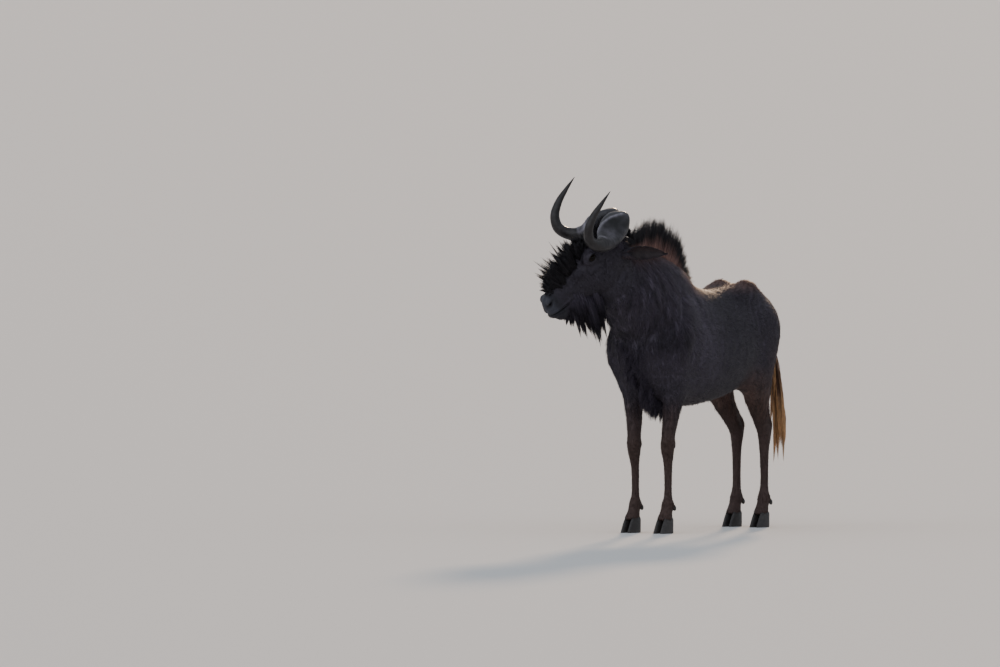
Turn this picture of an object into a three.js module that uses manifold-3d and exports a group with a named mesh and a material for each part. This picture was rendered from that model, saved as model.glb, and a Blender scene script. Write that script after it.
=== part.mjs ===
// A life-size standing black wildebeest bull, head raised and turned to its right.
// Millimetres, +Z up, the trunk along +X (head end), +Y to the animal's left.
// The origin ends on the floor, under the middle of the whole model.

import * as THREE from "three";
import { mergeVertices } from "three/addons/utils/BufferGeometryUtils.js";
import Module from "manifold-3d";

const wasm = await Module();
wasm.setup();
const { Manifold } = wasm;

// Driving sizes
const GAP = 0.3; // clearance between neighbouring pieces
const HOOF_TOP = 58; // height of the coronet, where leg meets hoof
const HEAD_AT = [739, -71, 1157]; // midpoint between the eyes
const HEAD_YAW = -42; // degrees, turned to the animal's right
const HEAD_PITCH = 40; // degrees, nose below the horizontal
const HEAD_ROLL = -10; // degrees, left side low
const EYE_RADIUS = 19;
const EYE_AT = [2, 74, 4]; // head frame: towards the nose, left, towards the forehead
const LID = 4; // thickness of the eyelids
const EYE_OPEN = { long: 36, high: 22 };
const MOUTH_GAP = 2.4; // opening between the lips
const MOUTH_DEPTH = 9;
const TIP = 0.5; // half thickness of a lock at its tip

const vec = (x, y, z) => new THREE.Vector3(x, y, z);
const rad = THREE.MathUtils.degToRad;
const mix = THREE.MathUtils.lerp;

const bodyFrame = new THREE.Matrix4();
const headFrame = new THREE.Matrix4()
  .makeRotationFromEuler(new THREE.Euler(rad(HEAD_ROLL), rad(HEAD_PITCH), rad(HEAD_YAW), "ZYX"))
  .setPosition(...HEAD_AT);

// Seeded random draw in 0..1, so that every build is the same
function seeded(seed) {
  let state = seed;
  return () => {
    state = (state * 1664525 + 1013904223) % 4294967296;
    return state / 4294967296;
  };
}

// A closed three.js geometry as a solid that can be joined and cut
function toSolid(geometry) {
  const bare = geometry.clone();
  bare.deleteAttribute("normal");
  bare.deleteAttribute("uv");
  const merged = mergeVertices(bare, 1e-4);
  return new Manifold(
    new wasm.Mesh({
      numProp: 3,
      vertProperties: new Float32Array(merged.attributes.position.array),
      triVerts: new Uint32Array(merged.index.array),
    }),
  );
}

function toGeometry(solid) {
  const mesh = solid.getMesh();
  const geometry = new THREE.BufferGeometry();
  geometry.setAttribute("position", new THREE.BufferAttribute(mesh.vertProperties, 3));
  geometry.setIndex(new THREE.BufferAttribute(mesh.triVerts, 1));
  geometry.computeVertexNormals();
  return geometry;
}

// The largest closed surface of a solid
function largest(solid) {
  return solid.decompose().sort((a, b) => b.volume() - a.volume())[0];
}

// A closed skin over rings of points, each ring a list of the same length, ends closed by a fan
function skinOver(rings) {
  const sides = rings[0].length;
  const positions = rings.flat().flatMap((p) => [p.x, p.y, p.z]);
  const faces = [];
  for (let r = 0; r < rings.length - 1; r++) {
    for (let s = 0; s < sides; s++) {
      const a = r * sides + s;
      const b = r * sides + ((s + 1) % sides);
      faces.push(a, b, b + sides, a, b + sides, a + sides);
    }
  }
  const ends = [0, rings.length - 1].map((r) => {
    const middle = rings[r].reduce((sum, p) => sum.add(p), vec(0, 0, 0)).divideScalar(sides);
    positions.push(middle.x, middle.y, middle.z);
    return positions.length / 3 - 1;
  });
  const last = (rings.length - 1) * sides;
  for (let s = 0; s < sides; s++) {
    const next = (s + 1) % sides;
    faces.push(ends[0], next, s);
    faces.push(ends[1], last + s, last + next);
  }
  const geometry = new THREE.BufferGeometry();
  geometry.setAttribute("position", new THREE.Float32BufferAttribute(positions, 3));
  geometry.setIndex(faces);
  const solid = toSolid(geometry);
  if (solid.volume() > 0) return solid;
  for (let i = 0; i < faces.length; i += 3) [faces[i], faces[i + 1]] = [faces[i + 1], faces[i]];
  geometry.setIndex(faces);
  return toSolid(geometry);
}

// Ovals strung along a smooth line through the stations. Each station has a centre `at`, a half
// depth `deep` along `up`, a half width `wide`, and `pinch`, which narrows the `up` side.
// With `plane` the ovals stay square to that axis; without it they turn with the line,
// and `up` is carried along so that the skin never twists.
function ovals(stations, { up, plane, sides = 20, steps = 3, frame = bodyFrame, grow = 0 }) {
  const line = new THREE.CatmullRomCurve3(stations.map((s) => vec(...s.at)), false, "catmullrom", 0.5);
  const sizes = new THREE.CatmullRomCurve3(
    stations.map((s) => vec(s.deep, s.wide, s.pinch ?? 0)), false, "catmullrom", 0.5,
  );
  const count = (stations.length - 1) * steps;
  const rings = [];
  let deepwards = up;
  for (let i = 0; i <= count; i++) {
    const t = i / count;
    const centre = line.getPoint(t);
    const along = plane ?? line.getTangent(t);
    const across = vec(0, 0, 0).crossVectors(deepwards, along).normalize();
    deepwards = vec(0, 0, 0).crossVectors(along, across).normalize();
    const size = sizes.getPoint(t);
    const end = i === 0 ? -grow : i === count ? grow : 0;
    const ring = [];
    for (let s = 0; s < sides; s++) {
      const turn = (2 * Math.PI * s) / sides;
      const wide = (size.y + grow) * Math.sin(turn) * (1 - size.z * Math.cos(turn));
      ring.push(
        centre.clone()
          .addScaledVector(along, end)
          .addScaledVector(deepwards, (size.x + grow) * Math.cos(turn))
          .addScaledVector(across, wide)
          .applyMatrix4(frame),
      );
    }
    rings.push(ring);
  }
  return skinOver(rings);
}

// A flat tapered lock of hair from `root` to `tip`, bowed at `middle`, wide along `flat`
function lock({ root, middle, tip, flat, width, thick, bends, frame }) {
  const line = new THREE.QuadraticBezierCurve3(root, middle, tip);
  const loops = [0, ...bends, 1].map((t) => {
    const centre = line.getPoint(t);
    const along = line.getTangent(t);
    const thin = vec(0, 0, 0).crossVectors(along, flat).normalize();
    const broad = vec(0, 0, 0).crossVectors(thin, along).normalize();
    const taper = 1 - t ** 1.7;
    const w = (width / 2) * taper + TIP;
    const h = (thick / 2) * taper + TIP;
    return [broad.clone().multiplyScalar(w), thin.clone().multiplyScalar(h),
      broad.clone().multiplyScalar(-w), thin.clone().multiplyScalar(-h)]
      .map((step) => step.add(centre).applyMatrix4(frame));
  });
  return skinOver(loops);
}

// Rows of locks between a line of roots and a line of tips. Each station of the row has a root
// point, a tip point, and how far the roots and tips stray to each side (`spread`, along `across`).
function locksBetween(stations, {
  count, rows, across, width, thick, bow, seed, bends = [0.5], frame = bodyFrame,
}) {
  const random = seeded(seed);
  const curve = (points) => new THREE.CatmullRomCurve3(points, false, "catmullrom", 0.5);
  const roots = curve(stations.map((s) => vec(...s.root)));
  const tips = curve(stations.map((s) => vec(...s.tip)));
  const spreads = curve(stations.map((s) => vec(...s.spread, 0)));
  const made = [];
  for (let row = 0; row < rows; row++) {
    const side = rows > 1 ? (2 * row) / (rows - 1) - 1 : 0;
    for (let i = 0; i < count; i++) {
      const t = THREE.MathUtils.clamp((i + 0.5 + (random() - 0.5) * 0.9) / count, 0, 1);
      const spread = spreads.getPoint(t);
      const reach = 0.82 + 0.2 * random();
      const stray = side + (random() - 0.5) * 0.5;
      const root = roots.getPoint(t).addScaledVector(across, spread.x * stray);
      const tip = tips.getPoint(t).addScaledVector(across, spread.y * stray);
      tip.sub(root).multiplyScalar(reach).add(root);
      const middle = root.clone().lerp(tip, 0.5).add(bow.clone().multiplyScalar(0.5 + random()));
      made.push(lock({
        root, middle, tip, bends, frame,
        flat: tips.getTangent(t).addScaledVector(across, (random() - 0.5) * 0.8),
        width: width * (0.8 + 0.4 * random()),
        thick: thick * (0.8 + 0.4 * random()),
      }));
    }
  }
  return Manifold.union(made);
}

// Trunk
const rib = (x, top, bottom, wide, pinch) => ({
  at: [x, 0, (top + bottom) / 2], deep: (top - bottom) / 2, wide, pinch,
});
const TRUNK = [
  rib(-534, 875, 800, 30, 0),
  rib(-518, 925, 730, 80, 0),
  rib(-470, 982, 655, 124, 0),
  rib(-400, 1014, 610, 148, 0),
  rib(-310, 1026, 586, 164, 0),
  rib(-200, 1016, 560, 178, 0.08),
  rib(-80, 1008, 536, 192, 0.18),
  rib(40, 1026, 520, 195, 0.26),
  rib(140, 1070, 515, 190, 0.32),
  rib(230, 1118, 520, 182, 0.38),
  rib(310, 1138, 536, 172, 0.4),
  rib(380, 1120, 570, 158, 0.36),
  rib(440, 1060, 624, 138, 0.3),
  rib(484, 970, 690, 104, 0.2),
  rib(508, 880, 760, 50, 0.1),
];
const trunk = (grow) => ovals(TRUNK, { up: vec(0, 0, 1), plane: vec(1, 0, 0), sides: 20, steps: 1, grow });

// Hip bones, two low humps beside the spine
const HIP = { x: -268, y: 70, z: 990, deep: 46, wide: 70, long: 160 };
function hips(grow) {
  const humps = [1, -1].map((side) =>
    ovals(
      [-1, -0.8, -0.4, 0, 0.4, 0.8, 1].map((t) => ({
        at: [HIP.x + t * HIP.long, side * HIP.y, HIP.z - 14 * t * t],
        deep: HIP.deep * Math.sqrt(1 - t * t) + 6,
        wide: HIP.wide * Math.sqrt(1 - t * t) + 6,
      })),
      { up: vec(0, 0, 1), plane: vec(1, 0, 0), sides: 12, steps: 1, grow },
    ),
  );
  return Manifold.union(humps);
}

// Neck, from inside the chest up to the poll
const NECK = [
  { at: [215, 0, 876], deep: 235, wide: 150, pinch: 0.25 },
  { at: [350, 0, 948], deep: 224, wide: 146, pinch: 0.35 },
  { at: [470, 0, 1000], deep: 186, wide: 122, pinch: 0.35 },
  { at: [560, -8, 1045], deep: 144, wide: 100, pinch: 0.3 },
  { at: [632, -16, 1095], deep: 122, wide: 86, pinch: 0.2 },
];
const neck = (grow) => ovals(NECK, { up: vec(0, 0, 1), sides: 20, steps: 2, grow });

// Head, as ovals square to its own long axis, in the head frame
const slice = (x, top, bottom, wide, pinch) => ({
  at: [x, 0, (top + bottom) / 2], deep: (top - bottom) / 2, wide, pinch,
});
const HEAD = [
  slice(-172, 2, -92, 50, 0),
  slice(-150, 24, -128, 70, 0),
  slice(-100, 42, -162, 84, 0),
  slice(-45, 50, -182, 88, 0.05),
  slice(5, 46, -182, 84, 0.15),
  slice(60, 36, -166, 68, 0.2),
  slice(115, 24, -150, 52, 0.1),
  slice(165, 12, -142, 47, 0),
  slice(205, 2, -144, 53, -0.05),
  slice(240, -12, -142, 56, 0),
  slice(264, -30, -124, 46, 0.1),
  slice(277, -48, -98, 26, 0),
];
const skull = (grow) =>
  ovals(HEAD, { up: vec(0, 0, 1), plane: vec(1, 0, 0), sides: 16, steps: 2, frame: headFrame, grow });

// An egg of the given half sizes, in the head frame, mirrored for the right side
function egg(at, half, side = 1, frame = headFrame, facets = 10) {
  const ball = new THREE.SphereGeometry(1, facets, Math.round(facets * 0.6)).scale(...half);
  return toSolid(ball.translate(at[0], at[1] * side, at[2]).applyMatrix4(frame));
}

// Bony rims of the eyes, and the flaps of the nostrils
const ORBIT = { at: [0, 58, 4], half: [46, 32, 36] };
const NOSTRIL_FLAP = { at: [243, 40, -42], half: [24, 17, 27] };
const NOSTRIL = { at: [256, 52, -50], half: [13, 10, 7] };
const features = (grow) =>
  Manifold.union([1, -1].flatMap((side) => [
    egg(ORBIT.at, ORBIT.half.map((h) => h + grow), side),
    egg(NOSTRIL_FLAP.at, NOSTRIL_FLAP.half.map((h) => h + grow), side),
  ]));

const whole = (grow) => Manifold.union([trunk(grow), hips(grow), neck(grow), skull(grow), features(grow)]);

// A flat box of thickness `thick` through `at`, square to `normal`
function plate({ at, normal, reach }, thick, shift = 0, frame = bodyFrame) {
  const box = new THREE.BoxGeometry(reach, reach, thick);
  const turn = new THREE.Quaternion().setFromUnitVectors(vec(0, 0, 1), normal.clone().normalize());
  box.translate(0, 0, shift).applyQuaternion(turn).translate(...at).applyMatrix4(frame);
  return toSolid(box);
}

const NECK_CUT = { at: [330, 0, 900], normal: vec(0.469, 0, 0.883), reach: 1100 };
const HEAD_CUT = { at: [-110, 0, -90], normal: vec(0.75, 0, 0.66), reach: 640 };

const cuts = Manifold.union([plate(NECK_CUT, GAP), plate(HEAD_CUT, GAP, 0, headFrame)]);
const headSide = plate(HEAD_CUT, 400, 200 - GAP / 2, headFrame);
const neckSide = plate(NECK_CUT, 800, 400 - GAP / 2);
const torsoSide = plate(NECK_CUT, 800, -400 + GAP / 2);
const middleOf = (solid) => {
  const box = solid.boundingBox();
  return vec(...box.min).add(vec(...box.max)).multiplyScalar(0.5);
};
const [headBase, neckBase, torsoBase] = whole(0).subtract(cuts).decompose()
  .filter((s) => s.volume() > 1e6)
  .sort((a, b) => middleOf(b).x - middleOf(a).x);

// Mouth: a groove round the front of the muzzle, no deeper than MOUTH_DEPTH
function mouth() {
  const slot = new THREE.BoxGeometry(150, 160, MOUTH_GAP);
  slot.rotateY(rad(-6)).translate(242, 0, -92).applyMatrix4(headFrame);
  return toSolid(slot).subtract(skull(-MOUTH_DEPTH));
}

// Eyelids: a thin ball over each eye with an almond opening
function lids(side) {
  return egg(EYE_AT, Array(3).fill(EYE_RADIUS + LID), side, headFrame, 12);
}
function eyeHollow(side) {
  const almond = new THREE.Shape();
  almond.moveTo(-EYE_OPEN.long / 2, -3);
  almond.quadraticCurveTo(0, EYE_OPEN.high * 0.95, EYE_OPEN.long / 2, -1);
  almond.quadraticCurveTo(0, -EYE_OPEN.high, -EYE_OPEN.long / 2, -3);
  const prism = new THREE.ExtrudeGeometry(almond, { depth: 60, bevelEnabled: false, curveSegments: 8 });
  prism.rotateX(Math.PI / 2);
  if (side > 0) prism.translate(0, 60, 0);
  prism.translate(EYE_AT[0], side * EYE_AT[1], EYE_AT[2]).applyMatrix4(headFrame);
  return Manifold.union([egg(EYE_AT, Array(3).fill(EYE_RADIUS + GAP), side, headFrame, 12), toSolid(prism)]);
}

// Mane: an upright crest of hair from the poll to behind the withers, in the body frame
const MANE = [
  { root: [604, 10, 1190], tip: [596, 10, 1262], spread: [16, 24] },
  { root: [540, 4, 1160], tip: [528, 4, 1280], spread: [20, 26] },
  { root: [460, 0, 1160], tip: [448, 0, 1296], spread: [22, 28] },
  { root: [350, 0, 1140], tip: [334, 0, 1308], spread: [22, 28] },
  { root: [250, 0, 1098], tip: [226, 0, 1292], spread: [22, 28] },
  { root: [180, 0, 1064], tip: [150, 0, 1248], spread: [20, 26] },
  { root: [136, 0, 1042], tip: [110, 0, 1190], spread: [15, 16] },
  { root: [104, 0, 1030], tip: [60, 0, 1084], spread: [12, 12] },
];
// Face brush: hair that stands off the bridge of the nose, in the head frame
const BRUSH = [
  { root: [34, 0, 22], tip: [18, 0, 92], spread: [20, 34] },
  { root: [60, 0, 18], tip: [56, 0, 120], spread: [28, 44] },
  { root: [110, 0, 8], tip: [116, 0, 117], spread: [26, 46] },
  { root: [160, 0, -4], tip: [178, 0, 92], spread: [24, 42] },
  { root: [196, 0, -12], tip: [212, 0, 40], spread: [18, 28] },
];
// Beard: hair that hangs from the lower jaw and throat, in the head frame
const BEARD = [
  { root: [214, 0, -118], tip: [236, 0, -200], spread: [22, 20] },
  { root: [184, 0, -118], tip: [216, 0, -248], spread: [30, 28] },
  { root: [142, 0, -124], tip: [196, 0, -286], spread: [32, 30] },
  { root: [96, 0, -138], tip: [176, 0, -322], spread: [34, 28] },
  { root: [50, 0, -156], tip: [110, 0, -290], spread: [34, 28] },
];
// Chest fringe: hair down the front of the chest and between the forelegs, in the body frame
const FRINGE = [
  { root: [478, 0, 810], tip: [548, 0, 742], spread: [40, 50] },
  { root: [452, 0, 740], tip: [528, 0, 656], spread: [42, 52] },
  { root: [410, 0, 660], tip: [478, 0, 560], spread: [34, 40] },
  { root: [350, 0, 590], tip: [396, 0, 462], spread: [26, 26] },
  { root: [270, 0, 560], tip: [296, 0, 446], spread: [22, 20] },
  { root: [190, 0, 550], tip: [190, 0, 484], spread: [18, 14] },
];
// Long hair of the tail, from the lower half of the dock down
const TAIL_HAIR = [
  { root: [-556, 10, 800], tip: [-584, 24, 600], spread: [10, 22] },
  { root: [-564, 20, 740], tip: [-580, 34, 480], spread: [12, 38] },
  { root: [-568, 30, 680], tip: [-574, 50, 380], spread: [12, 44] },
  { root: [-570, 40, 610], tip: [-572, 56, 300], spread: [12, 44] },
  { root: [-571, 47, 550], tip: [-568, 58, 236], spread: [10, 34] },
];
const ACROSS = vec(0, 1, 0);
const HAIR = {
  mane: () => locksBetween(MANE, {
    count: 13, rows: 3, across: ACROSS, width: 80, thick: 24, bow: vec(-8, 0, 6), seed: 11,
  }),
  brush: () => locksBetween(BRUSH, {
    count: 8, rows: 3, across: ACROSS, width: 44, thick: 28, bow: vec(0, 0, 6), seed: 23, frame: headFrame,
  }),
  beard: () => locksBetween(BEARD, {
    count: 7, rows: 3, across: ACROSS, width: 48, thick: 26, bow: vec(-10, 0, -6), seed: 37, frame: headFrame,
  }),
  fringe: () => locksBetween(FRINGE, {
    count: 8, rows: 3, across: ACROSS, width: 52, thick: 26, bow: vec(10, 0, -4), seed: 41,
  }),
  tail: () => locksBetween(TAIL_HAIR, {
    count: 7, rows: 3, across: vec(0.5, 0.87, 0), width: 46, thick: 30,
    bow: vec(-14, 6, 0), seed: 53, bends: [0.35, 0.7],
  }),
};

// A low ridge in the middle of a hair form, `share` of the way from its roots to its tips
function ridge(stations, { share, half, frame = bodyFrame }) {
  const at = stations.map((s) => {
    const root = vec(...s.root);
    const top = root.clone().lerp(vec(...s.tip), share);
    return { at: root.clone().lerp(top, 0.5).toArray(), deep: root.distanceTo(top) / 2 + 8, wide: half };
  });
  const up = vec(...stations[1].tip).sub(vec(...stations[1].root));
  return ovals(at, { up: up.normalize(), sides: 8, steps: 1, frame });
}

// Legs, as level ovals from the shoulder or hip down to the coronet
const level = (z, x, y, deep, wide) => ({ at: [x, y, z], deep, wide });
const FORELEG = [
  level(985, 262, 92, 55, 26),
  level(930, 290, 104, 88, 56),
  level(830, 335, 116, 112, 72),
  level(740, 352, 118, 108, 72),
  level(670, 345, 112, 94, 62),
  level(610, 328, 104, 78, 52),
  level(550, 326, 97, 58, 44),
  level(480, 335, 90, 42, 36),
  level(420, 343, 85, 35, 31),
  level(378, 347, 83, 34, 30),
  level(345, 348, 82, 33, 30),
  level(310, 345, 82, 26, 25),
  level(270, 342, 81, 21, 21),
  level(190, 340, 80, 19.5, 19),
  level(150, 341, 80, 22, 21),
  level(125, 344, 80, 28, 26),
  level(98, 352, 80, 25, 25),
  level(76, 361, 80, 27, 27),
  level(HOOF_TOP, 368, 80, 33, 30),
];
const HINDLEG = [
  level(985, -300, 70, 60, 30),
  level(930, -312, 88, 112, 62),
  level(850, -318, 98, 140, 80),
  level(770, -312, 100, 138, 78),
  level(700, -310, 101, 124, 70),
  level(640, -312, 99, 108, 62),
  level(580, -324, 94, 96, 54),
  level(530, -347, 86, 76, 44),
  level(480, -378, 79, 60, 36),
  level(440, -405, 73, 50, 31),
  level(410, -426, 69, 45, 29),
  level(385, -433, 68, 37, 28),
  level(350, -432, 68, 29, 25),
  level(300, -432, 68, 23.5, 22),
  level(200, -432, 68, 21.5, 20),
  level(155, -431, 68, 24, 22),
  level(128, -428, 68, 30, 27),
  level(100, -420, 68, 26, 26),
  level(76, -411, 68, 28, 27),
  level(HOOF_TOP, -404, 68, 33, 30),
];
const mirrored = (stations, side) =>
  stations.map((s) => ({ ...s, at: [s.at[0], s.at[1] * side, s.at[2]] }));
const leg = (stations, side, grow = 0) =>
  ovals(mirrored(stations, side), { up: vec(1, 0, 0), plane: vec(0, 0, -1), sides: 10, steps: 1, grow });

// Dewclaws, two small nubs behind each fetlock
const dewclaws = (x, y) =>
  Manifold.union([1, -1].map((side) => egg([x, y + side * 15, 108], [13, 9, 17], 1, bodyFrame, 8)));

// Hooves: two toes a foot, flat soles on the floor
const TOE = { apart: 17, long: 45, wide: 14.5, forward: 12 };
function toe(x, y, side) {
  const stations = [
    { z: HOOF_TOP - GAP, dx: -2, deep: 31, wide: 13 },
    { z: 40, dx: 3, deep: 35, wide: 14.5 },
    { z: 14, dx: 10, deep: 42, wide: 15.5 },
    { z: 0, dx: 13, deep: 45, wide: 15.5 },
  ].map((s) => ({ at: [x + s.dx, y + side * TOE.apart, s.z], deep: s.deep, wide: s.wide, pinch: 0.35 }));
  return ovals(stations, { up: vec(1, 0, 0), plane: vec(0, 0, -1), sides: 12, steps: 1 });
}

// Horns, in the head frame: a broad boss that drops forward, then hooks up to a point
const HORN = [
  { at: [-216, 30, 22], deep: 22, wide: 14 },
  { at: [-194, 44, 30], deep: 50, wide: 30 },
  { at: [-152, 64, 34], deep: 60, wide: 38 },
  { at: [-108, 94, 28], deep: 52, wide: 36 },
  { at: [-68, 130, 32], deep: 36, wide: 30 },
  { at: [-33, 160, 58], deep: 27, wide: 25 },
  { at: [-15, 178, 102], deep: 23.5, wide: 22 },
  { at: [-36, 190, 148], deep: 20, wide: 19 },
  { at: [-84, 196, 180], deep: 15, wide: 15 },
  { at: [-140, 199, 199], deep: 9, wide: 9 },
  { at: [-203, 200, 216], deep: 1.2, wide: 1.2 },
];
const horn = (side, grow = 0) =>
  ovals(mirrored(HORN, side), {
    up: vec(0, -0.45 * side, 1).normalize(), sides: 10, steps: 2, frame: headFrame, grow,
  });

// Ears: a leaf-shaped cup that points back and out
const EAR = { root: [-108, 70, -72], tip: [-262, 132, -168], deep: 30, wide: 22, wall: 4 };
const EAR_OUTLINE = [[0, 0.55], [0.14, 0.82], [0.34, 1], [0.56, 0.96], [0.78, 0.62], [1, 0.06]];
function earShell(side, inset, shift, from = 0, to = 1) {
  const root = vec(...EAR.root);
  const tip = vec(...EAR.tip);
  const stations = EAR_OUTLINE.map(([t, full]) => {
    const centre = root.clone().lerp(tip, mix(from, to, t));
    return {
      at: [centre.x + shift[0], side * (centre.y + shift[1]), centre.z + shift[2]],
      deep: Math.max(EAR.deep * full - inset, 0.8),
      wide: Math.max(EAR.wide * full - inset, 0.8),
    };
  });
  return ovals(stations, { up: vec(-0.45, 0, 0.9), sides: 10, steps: 2, frame: headFrame });
}
const ear = (side) =>
  earShell(side, 0, [0, 0, 0]).subtract(earShell(side, EAR.wall, [2, 15, 9], 0.16, 0.95));

// Tail dock, down to where only hair goes on
const TAIL = [
  { at: [-470, 0, 905], deep: 26, wide: 26 },
  { at: [-525, 2, 880], deep: 26, wide: 25 },
  { at: [-556, 10, 820], deep: 22, wide: 22 },
  { at: [-566, 22, 740], deep: 20, wide: 20 },
  { at: [-570, 36, 640], deep: 20, wide: 22 },
  { at: [-572, 46, 540], deep: 16, wide: 20 },
  { at: [-571, 54, 440], deep: 6, wide: 8 },
];
const dock = () => ovals(TAIL, { up: vec(1, 0, 0.1), sides: 10, steps: 2 });

// Assembly
const SIDES = { left: 1, right: -1 };
const sides = Object.values(SIDES);
const grown = whole(GAP);
const legsGrown = Manifold.union(sides.flatMap((side) => [leg(FORELEG, side, GAP), leg(HINDLEG, side, GAP)]));
const hornsAndEars = Manifold.union(sides.flatMap((side) => [horn(side, GAP), earShell(side, -GAP, [0, 0, 0])]));
const nodes = {};
nodes.torso = torsoBase.add(
  HAIR.fringe().add(ridge(FRINGE, { share: 0.45, half: 40 })).subtract(neckSide).subtract(legsGrown),
);
nodes.neck = neckBase.add(
  HAIR.mane().add(ridge(MANE, { share: 0.5, half: 22 }))
    .subtract(headSide).subtract(torsoSide).subtract(hornsAndEars),
);
nodes.head = headBase
  .add(HAIR.brush().add(ridge(BRUSH, { share: 0.45, half: 30, frame: headFrame })).subtract(hornsAndEars))
  .add(HAIR.beard().add(ridge(BEARD, { share: 0.45, half: 24, frame: headFrame })).subtract(neck(GAP)))
  .add(Manifold.union(sides.map(lids)))
  .subtract(Manifold.union([mouth(), ...sides.map(eyeHollow)]))
  .subtract(Manifold.union(sides.map((side) => egg(NOSTRIL.at, NOSTRIL.half, side))));
for (const [name, side] of Object.entries(SIDES)) {
  nodes["foreleg_" + name] = leg(FORELEG, side).add(dewclaws(318, side * 80)).subtract(grown);
  nodes["hindleg_" + name] = leg(HINDLEG, side).add(dewclaws(-458, side * 68)).subtract(grown);
  for (const [toeName, toeSide] of [["inner", -side], ["outer", side]]) {
    nodes[`hoof_fore_${name}_${toeName}`] = toe(368, side * 80, toeSide);
    nodes[`hoof_hind_${name}_${toeName}`] = toe(-404, side * 68, toeSide);
  }
  nodes["horn_" + name] = horn(side).subtract(grown);
  nodes["ear_" + name] = ear(side).subtract(grown);
  nodes["eye_" + name] = egg(EYE_AT, Array(3).fill(EYE_RADIUS), side, headFrame, 12);
}
nodes.tail = HAIR.tail().add(dock()).subtract(grown);
for (const name of Object.keys(nodes)) nodes[name] = largest(nodes[name]);

const COLOURS = {
  eye: { color: 0x120c08, roughness: 0.08 },
  horn: { color: 0x2a2826, roughness: 0.45 },
  hoof: { color: 0x1c1a19, roughness: 0.55 },
  tail: { color: 0x6a4630, roughness: 0.9 },
  coat: { color: 0x1d1815, roughness: 0.85 },
};
const animal = new THREE.Group();
for (const [name, solid] of Object.entries(nodes)) {
  const kind = name.split("_")[0];
  const finish = COLOURS[kind] ?? COLOURS.coat;
  const mesh = new THREE.Mesh(toGeometry(solid), new THREE.MeshStandardMaterial({ metalness: 0, ...finish }));
  mesh.name = name;
  animal.add(mesh);
}
const bounds = new THREE.Box3().setFromObject(animal);
animal.position.set(-(bounds.min.x + bounds.max.x) / 2, -(bounds.min.y + bounds.max.y) / 2, -bounds.min.z);

export default animal;
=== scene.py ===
"""A life-size standing black wildebeest bull, dressed with skin, coat, hair, horns, eyes and hooves."""
import math

import bmesh
import bpy
import numpy as np
from bpy.props import BoolProperty, FloatProperty, FloatVectorProperty, IntProperty, PointerProperty
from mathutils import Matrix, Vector


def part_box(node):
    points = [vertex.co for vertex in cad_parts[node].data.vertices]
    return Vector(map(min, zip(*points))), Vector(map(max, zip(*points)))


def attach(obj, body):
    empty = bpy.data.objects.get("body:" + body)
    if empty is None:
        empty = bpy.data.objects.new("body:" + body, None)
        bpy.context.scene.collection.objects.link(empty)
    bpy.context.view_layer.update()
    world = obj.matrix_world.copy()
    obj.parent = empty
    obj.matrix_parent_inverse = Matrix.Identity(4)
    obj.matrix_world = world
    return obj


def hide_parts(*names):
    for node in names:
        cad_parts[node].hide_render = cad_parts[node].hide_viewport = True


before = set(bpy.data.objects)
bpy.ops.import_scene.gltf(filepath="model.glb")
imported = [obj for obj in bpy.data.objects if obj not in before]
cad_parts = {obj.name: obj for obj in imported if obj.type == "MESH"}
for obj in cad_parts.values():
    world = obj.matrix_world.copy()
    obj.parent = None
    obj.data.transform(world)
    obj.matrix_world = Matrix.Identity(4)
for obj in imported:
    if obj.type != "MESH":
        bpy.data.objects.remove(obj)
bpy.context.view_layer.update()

bl_info = {
    "name": "Black wildebeest",
    "version": (1, 0, 0),
    "blender": (4, 5, 0),
    "location": "View3D > Sidebar > Wildebeest",
    "description": "Skin, coat, mane, horns, eyes and hooves of a standing wildebeest bull",
    "category": "Add Mesh",
}

# Places in the animal's own frame: X along the trunk, Y left, Z up, in metres.
# HEAD_TURN is the head's yaw, pitch and roll in degrees.
TOE_FRONT = -0.346
HIND_TOES = [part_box(f"hoof_hind_{side}_outer") for side in ("left", "right")]
ORIGIN = np.array([
    HIND_TOES[0][1].x - TOE_FRONT,
    (HIND_TOES[0][1].y + HIND_TOES[1][0].y) / 2,
    HIND_TOES[0][0].z,
])
HEAD_AT = np.array([0.739, -0.071, 1.157])
HEAD_TURN = (-42.0, 40.0, -10.0)
FLESH = (
    "torso", "neck", "head", "foreleg_left", "foreleg_right", "hindleg_left", "hindleg_right", "tail",
)
SIDES = {"left": 1, "right": -1}
PHOTO_WIDTH = 1000
PHOTO_HEIGHT = 667
PIXELS_PER_METRE = 240.0
PHOTO_BODY_X = 695.5
PHOTO_GROUND_Y = 530.0


# Small tools on whole arrays

def head_matrix():
    """Columns are the head's nose, left and forehead directions in the body frame."""
    yaw, pitch, roll = (math.radians(a) for a in HEAD_TURN)
    cy, sy, cp, sp, cr, sr = (
        math.cos(yaw), math.sin(yaw), math.cos(pitch), math.sin(pitch), math.cos(roll), math.sin(roll),
    )
    turn = np.array([[cy, -sy, 0], [sy, cy, 0], [0, 0, 1]])
    nod = np.array([[cp, 0, sp], [0, 1, 0], [-sp, 0, cp]])
    lean = np.array([[1, 0, 0], [0, cr, -sr], [0, sr, cr]])
    return turn @ nod @ lean


HEAD = head_matrix()


def from_head(p):
    """Head-frame points in the body frame."""
    return np.asarray(p) @ HEAD.T + HEAD_AT


def to_head(p):
    """Body-frame points in the head frame."""
    return (np.asarray(p) - HEAD_AT) @ HEAD


def unit(v):
    """Each row divided by its own length."""
    return v / np.maximum(np.linalg.norm(v, axis=-1, keepdims=True), 1e-9)


def mixed(tone, other, share):
    """Rows moved from `tone` towards `other` by each point's share."""
    return tone + (other - tone) * share[:, None]


def ease(low, high, x):
    """0 below low, 1 above high, and a smooth step between."""
    t = np.clip((x - low) / (high - low), 0, 1)
    return t * t * (3 - 2 * t)


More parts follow.
